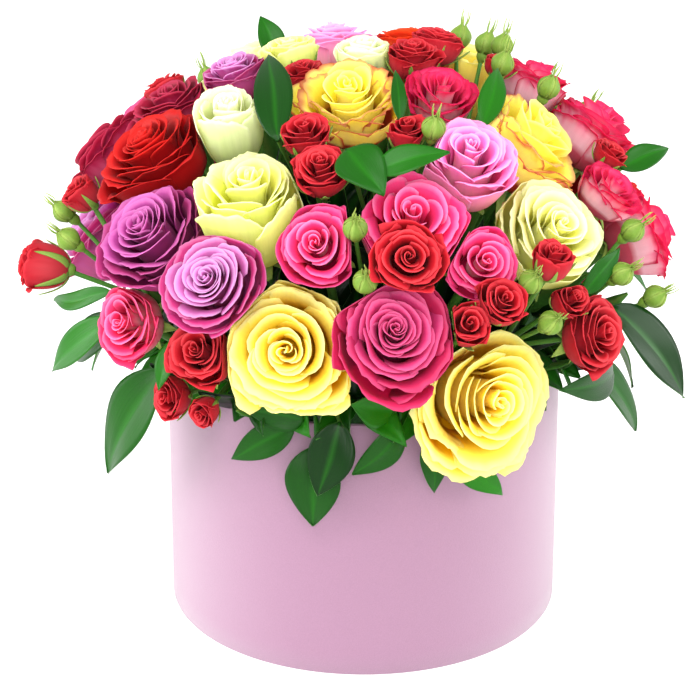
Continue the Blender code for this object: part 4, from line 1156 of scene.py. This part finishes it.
def grainy_material(name, darker, lighter, scale, distance, roughness, sheen=0.0, gloss=0.3):
    """Paper, card or foam: fine grain in the colour and the surface."""
    return clouded_material(
        name, darker, lighter, {"Scale": scale, "Detail": 3.0, "Roughness": 0.65}, 0.6,
        {"Strength": 0.5, "Distance": distance},
        {"Roughness": roughness, "Specular IOR Level": gloss, "Sheen Weight": sheen,
         "Sheen Roughness": 0.62})


def film_material():
    """Clear liner with faint creases that cloud it."""
    return clouded_material(
        "film_clear", (0.70, 0.74, 0.70), (0.90, 0.91, 0.90), {"Scale": 60.0, "Detail": 4.0}, 0.0,
        {"Strength": 0.6, "Distance": 0.0004}, {"Roughness": 0.12, "Alpha": 0.5})


# The arrangement

def add_piece(skin, name, material, slot, *nodes):
    """Build a piece, let it stand for the solids and ride with them."""
    if not skin.count:
        return
    made = skin.build(name, material)
    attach(made, "root")
    if nodes:
        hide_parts(*nodes)


def petal_kind(colour):
    """Which petal material a colour takes: pale petals are thin and dark ones like velvet."""
    if colour in ("yellow", "lemon", "cream", "flame"):
        return "thin"
    return "velvet" if colour in ("red", "magenta", "purple") else "soft"


def build_flowers():
    blooms = all_blooms()
    sprays = [Spray(name, items, blooms) for name, items in SPRAYS.items()]
    obstacles = obstacles_of(blooms, sprays)
    walls = {bloom: walls_of(bloom, blooms, obstacles) for bloom in blooms}
    petals = {"thin": petal_material("petal_thin", 0.58, 0.74),
              "soft": petal_material("petal_soft", 0.58, 0.62),
              "velvet": petal_material("petal_velvet", 0.52, 0.54)}
    leaf = green_material("leaf_waxy", 0.34, 30.0, 0.0004)
    stalk = green_material("stalk_green", 0.5, 12.0, 0.0003)

    def add_heads(owner, owned):
        """One piece with the petals of an owner's heads."""
        skin = Skin()
        for bloom in owned:
            slot_look = LOOK_OF_SLOT.get(bloom.colour, bloom.colour)
            add_head(skin, bloom, LOOKS[LOOK_OF_ROSE.get(owner, slot_look)], walls[bloom])
        colour = owned[0].colour
        add_piece(skin, owner + "_petals", petals[petal_kind(colour)], colour, owner)

    for bloom in blooms:
        if bloom.owner not in SPRAYS:
            add_heads(bloom.owner, [bloom])
            green = Skin()
            add_stem(green, single_stem(bloom), STEM_RADIUS, bloom.index, 14)
            add_calyx(green, bloom, walls[bloom])
            add_piece(green, bloom.owner + "_stem", stalk, "leaf_green")
    for number, spray in enumerate(sprays):
        if spray.blooms:
            add_heads(spray.name, spray.blooms)
        green, leaves = Skin(), Skin()
        add_stem(green, spray.stem(), STEM_RADIUS, SPRAY_STEM_SEED + number, 8)
        bloom_feet, bud_feet, leaf_feet = spray.branch_feet()
        for bloom, foot in zip(spray.blooms, bloom_feet):
            branch = 0.8 * STEM_RADIUS if bloom.radius > LARGE_BLOOM else BRANCH_RADIUS
            add_stem(green, [foot, bloom.base()], branch, bloom.index)
            add_calyx(green, bloom, walls[bloom])
        for k, ((base, axis), foot) in enumerate(zip(spray.buds, bud_feet)):
            add_stem(green, [foot, base], TWIG_RADIUS, BUD_STEM_SEED + number)
            add_bud(green, base, axis, BUD_SEED + 20 * number + k)
        for k, ((base, tip, width), foot) in enumerate(zip(spray.leaves, leaf_feet)):
            add_stem(green, [foot, base], TWIG_RADIUS, LEAF_STEM_SEED + number)
            add_leaf(leaves, base, tip, width, LEAF_SEED + 20 * number + k)
        add_piece(green, spray.name + "_stems", stalk, "leaf_green", spray.name)
        add_piece(leaves, spray.name + "_leaves", leaf, "leaf_green", spray.name)
    build_filling(blooms, leaf)


def clear_of(blooms, points, share):
    """Whether points stay out of that share of every head's radius."""
    return not any(np.linalg.norm(point - bloom.centre) < share * bloom.radius
                   for bloom in blooms for point in points)


def build_filling(blooms, leaf):
    """Leaves low between the heads, where the stems leave the foam, painted dark as painted shade, and
    leaves along the rim.
    """
    rng = np.random.default_rng(FILLING_LAYOUT_SEED)
    skin = Skin()
    made = 0
    for _ in range(FILLING_TRIES):
        azimuth = rng.uniform(-180, 180)
        elevation = math.degrees(math.asin(rng.uniform(0.22, 1.0)))
        towards = direction(azimuth, elevation)
        base = FOCUS + FILLING_START * towards
        reach = rng.uniform(0.034, 0.052) + 0.034 * ease(30, 60, elevation)
        tip = base + reach * unit(towards + rng.normal(0, 0.35, 3))
        points = [mix(base, tip, share) for share in (0.3, 0.6, 0.8, 1.0)]
        at_wall = any(point[2] < BOX_HEIGHT + WALL_TOP_ROOM
                      and math.hypot(point[0], point[1]) > BOX_RADIUS - WALL_SIDE_ROOM for point in points)
        if not at_wall and clear_of(blooms, points, FILLING_SHARE):
            width = rng.uniform(0.016, 0.026)
            # These leaves low among the stems are painted dark, as painted shade.
            add_leaf(skin, base, tip, width, FILLING_SEED + made, *FILLING_GRID, in_painted_shade=True)
            made += 1
        if made == FILLING_LEAVES:
            break
    for k in range(RIM_LEAVES):
        azimuth = 360.0 / RIM_LEAVES * k + rng.uniform(-2, 2)
        base = ring_point(azimuth, 97, rng.uniform(164, 172))
        tip = ring_point(azimuth + rng.uniform(-12, 12), rng.uniform(124, 136), rng.uniform(142, 156))
        if clear_of(blooms, [mix(base, tip, share) for share in (0.5, 0.75, 1.0)], RIM_SHARE):
            add_leaf(skin, base, tip, rng.uniform(0.018, 0.024), RIM_SEED + k, *RIM_GRID)
    add_piece(skin, "inner_foliage", leaf, "leaf_green")


# Box, foam and liner

def lathe(skin, profile, sides, colour):
    """Solid of revolution about Z from an open profile."""
    angles = np.linspace(0, 2 * math.pi, sides, endpoint=False)
    grid = np.array([[(r * math.cos(a), r * math.sin(a), z) for a in angles] for r, z in profile])
    faces = grid_faces(len(profile), sides, closed=True)[:, ::-1]
    skin.add(grid.reshape(-1, 3), faces, np.array(colour),
             grid_places(angles / (2 * math.pi), np.linspace(0, 1, len(profile))))


def build_box():
    inner = BOX_RADIUS - BOX_WALL
    rounding = np.radians([0, 22, 45, 67, 90])
    level = BOX_HEIGHT - CARD_EDGE
    outside = [(BOX_RADIUS - CARD_EDGE + CARD_EDGE * math.sin(a), level + CARD_EDGE * math.cos(a))
               for a in rounding]
    inside = [(inner + CARD_EDGE - CARD_EDGE * math.sin(a), level + CARD_EDGE * math.cos(a))
              for a in rounding[::-1]]
    wall = [(BOX_RADIUS, z) for z in np.linspace(BOX_HEIGHT - 0.004, 0.0006, 12)]
    foot = [(BOX_RADIUS - 0.0004, 0.0), (inner, 0.0)]
    back = [(inner, 0.05), (inner, BOX_HEIGHT - 0.004), inside[0]]
    skin = Skin()
    lathe(skin, inside + outside + wall + foot + back, BOX_SIDES, (1.0, 1.0, 1.0))
    paper = grainy_material("paper_pink", paint(112, 65, 96), paint(122, 75, 106), 1500.0, 0.00022,
                            0.6, sheen=0.38, gloss=1.0)
    add_piece(skin, "box_paper", paper, "box_pink", "box_wall")
    card = grainy_material("card_grey", paint(168, 160, 158), paint(196, 188, 186), 700.0, 0.0002, 0.8)
    foam = grainy_material("foam_green", paint(18, 44, 22), paint(52, 92, 48), 900.0, 0.0008, 0.9)
    for name, material in (("box_base", card), ("florist_foam", foam), ("foam_liner", film_material())):
        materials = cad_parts[name].data.materials
        materials.clear()
        materials.append(material)


# Studio

def pose_matrix(place, back):
    """Pose of a camera or light at a place, looking away from the direction back."""
    side = unit(np.cross([0.0, 0.0, 1.0], back))
    up = np.cross(back, side)
    matrix = np.identity(4)
    matrix[:3, 0], matrix[:3, 1], matrix[:3, 2], matrix[:3, 3] = side, up, back, place
    return Matrix(matrix)


def area_light(name, place, size, power):
    """White square light that looks at the flowers."""
    data = bpy.data.lights.new(name, "AREA")
    data.shape = "SQUARE"
    data.size = size
    data.energy = power
    made = bpy.data.objects.new(name, data)
    made.matrix_world = pose_matrix(place, unit(np.array(place) - np.array(LIGHT_TARGET)))
    bpy.context.scene.collection.objects.link(made)


def build_floor(scene):
    mesh = bpy.data.meshes.new("floor")
    corners = [(x * FLOOR_REACH, y * FLOOR_REACH, 0) for x, y in ((-1, -1), (1, -1), (1, 1), (-1, 1))]
    mesh.from_pydata(corners, [], [(0, 1, 2, 3)])
    floor = bpy.data.objects.new("floor", mesh)
    scene.collection.objects.link(floor)
    white, _, shader, _ = new_material("floor_white")
    set_inputs(shader, {"Base Color": (0.60, 0.60, 0.60, 1.0), "Roughness": 0.9,
                        "Specular IOR Level": 0.0, "Emission Color": (1.0, 1.0, 1.0, 1.0),
                        "Emission Strength": 0.42})
    mesh.materials.append(white)


def build_backdrop(scene):
    """A white backdrop that lights the flowers a little less than it shows."""
    world = bpy.data.worlds.new("studio")
    world.use_nodes = True
    scene.world = world
    tree = world.node_tree
    backdrop = tree.nodes["Background"]
    backdrop.inputs["Color"].default_value = (1.0, 1.0, 1.0, 1.0)
    rays = node(tree, "ShaderNodeLightPath")
    strength = remap(tree, rays.outputs["Is Camera Ray"], 0.85, 1.0)
    tree.links.new(strength, backdrop.inputs["Strength"])


def build_camera(scene):
    camera = bpy.data.cameras.new("camera")
    camera.lens = CAMERA_LENS
    camera.sensor_width = CAMERA_SENSOR
    camera.clip_end = 50.0
    seen_from = bpy.data.objects.new("camera", camera)
    back = np.array([0.0, -math.cos(CAMERA_PITCH), math.sin(CAMERA_PITCH)])
    seen_from.matrix_world = pose_matrix(CAMERA_TARGET + CAMERA_DISTANCE * back, back)
    scene.collection.objects.link(seen_from)
    scene.camera = seen_from


def build_studio():
    scene = bpy.context.scene
    scene.view_settings.view_transform = "Standard"
    build_floor(scene)
    build_backdrop(scene)
    for light in LIGHTS:
        area_light(*light)
    build_camera(scene)


build_box()
build_flowers()
build_studio()
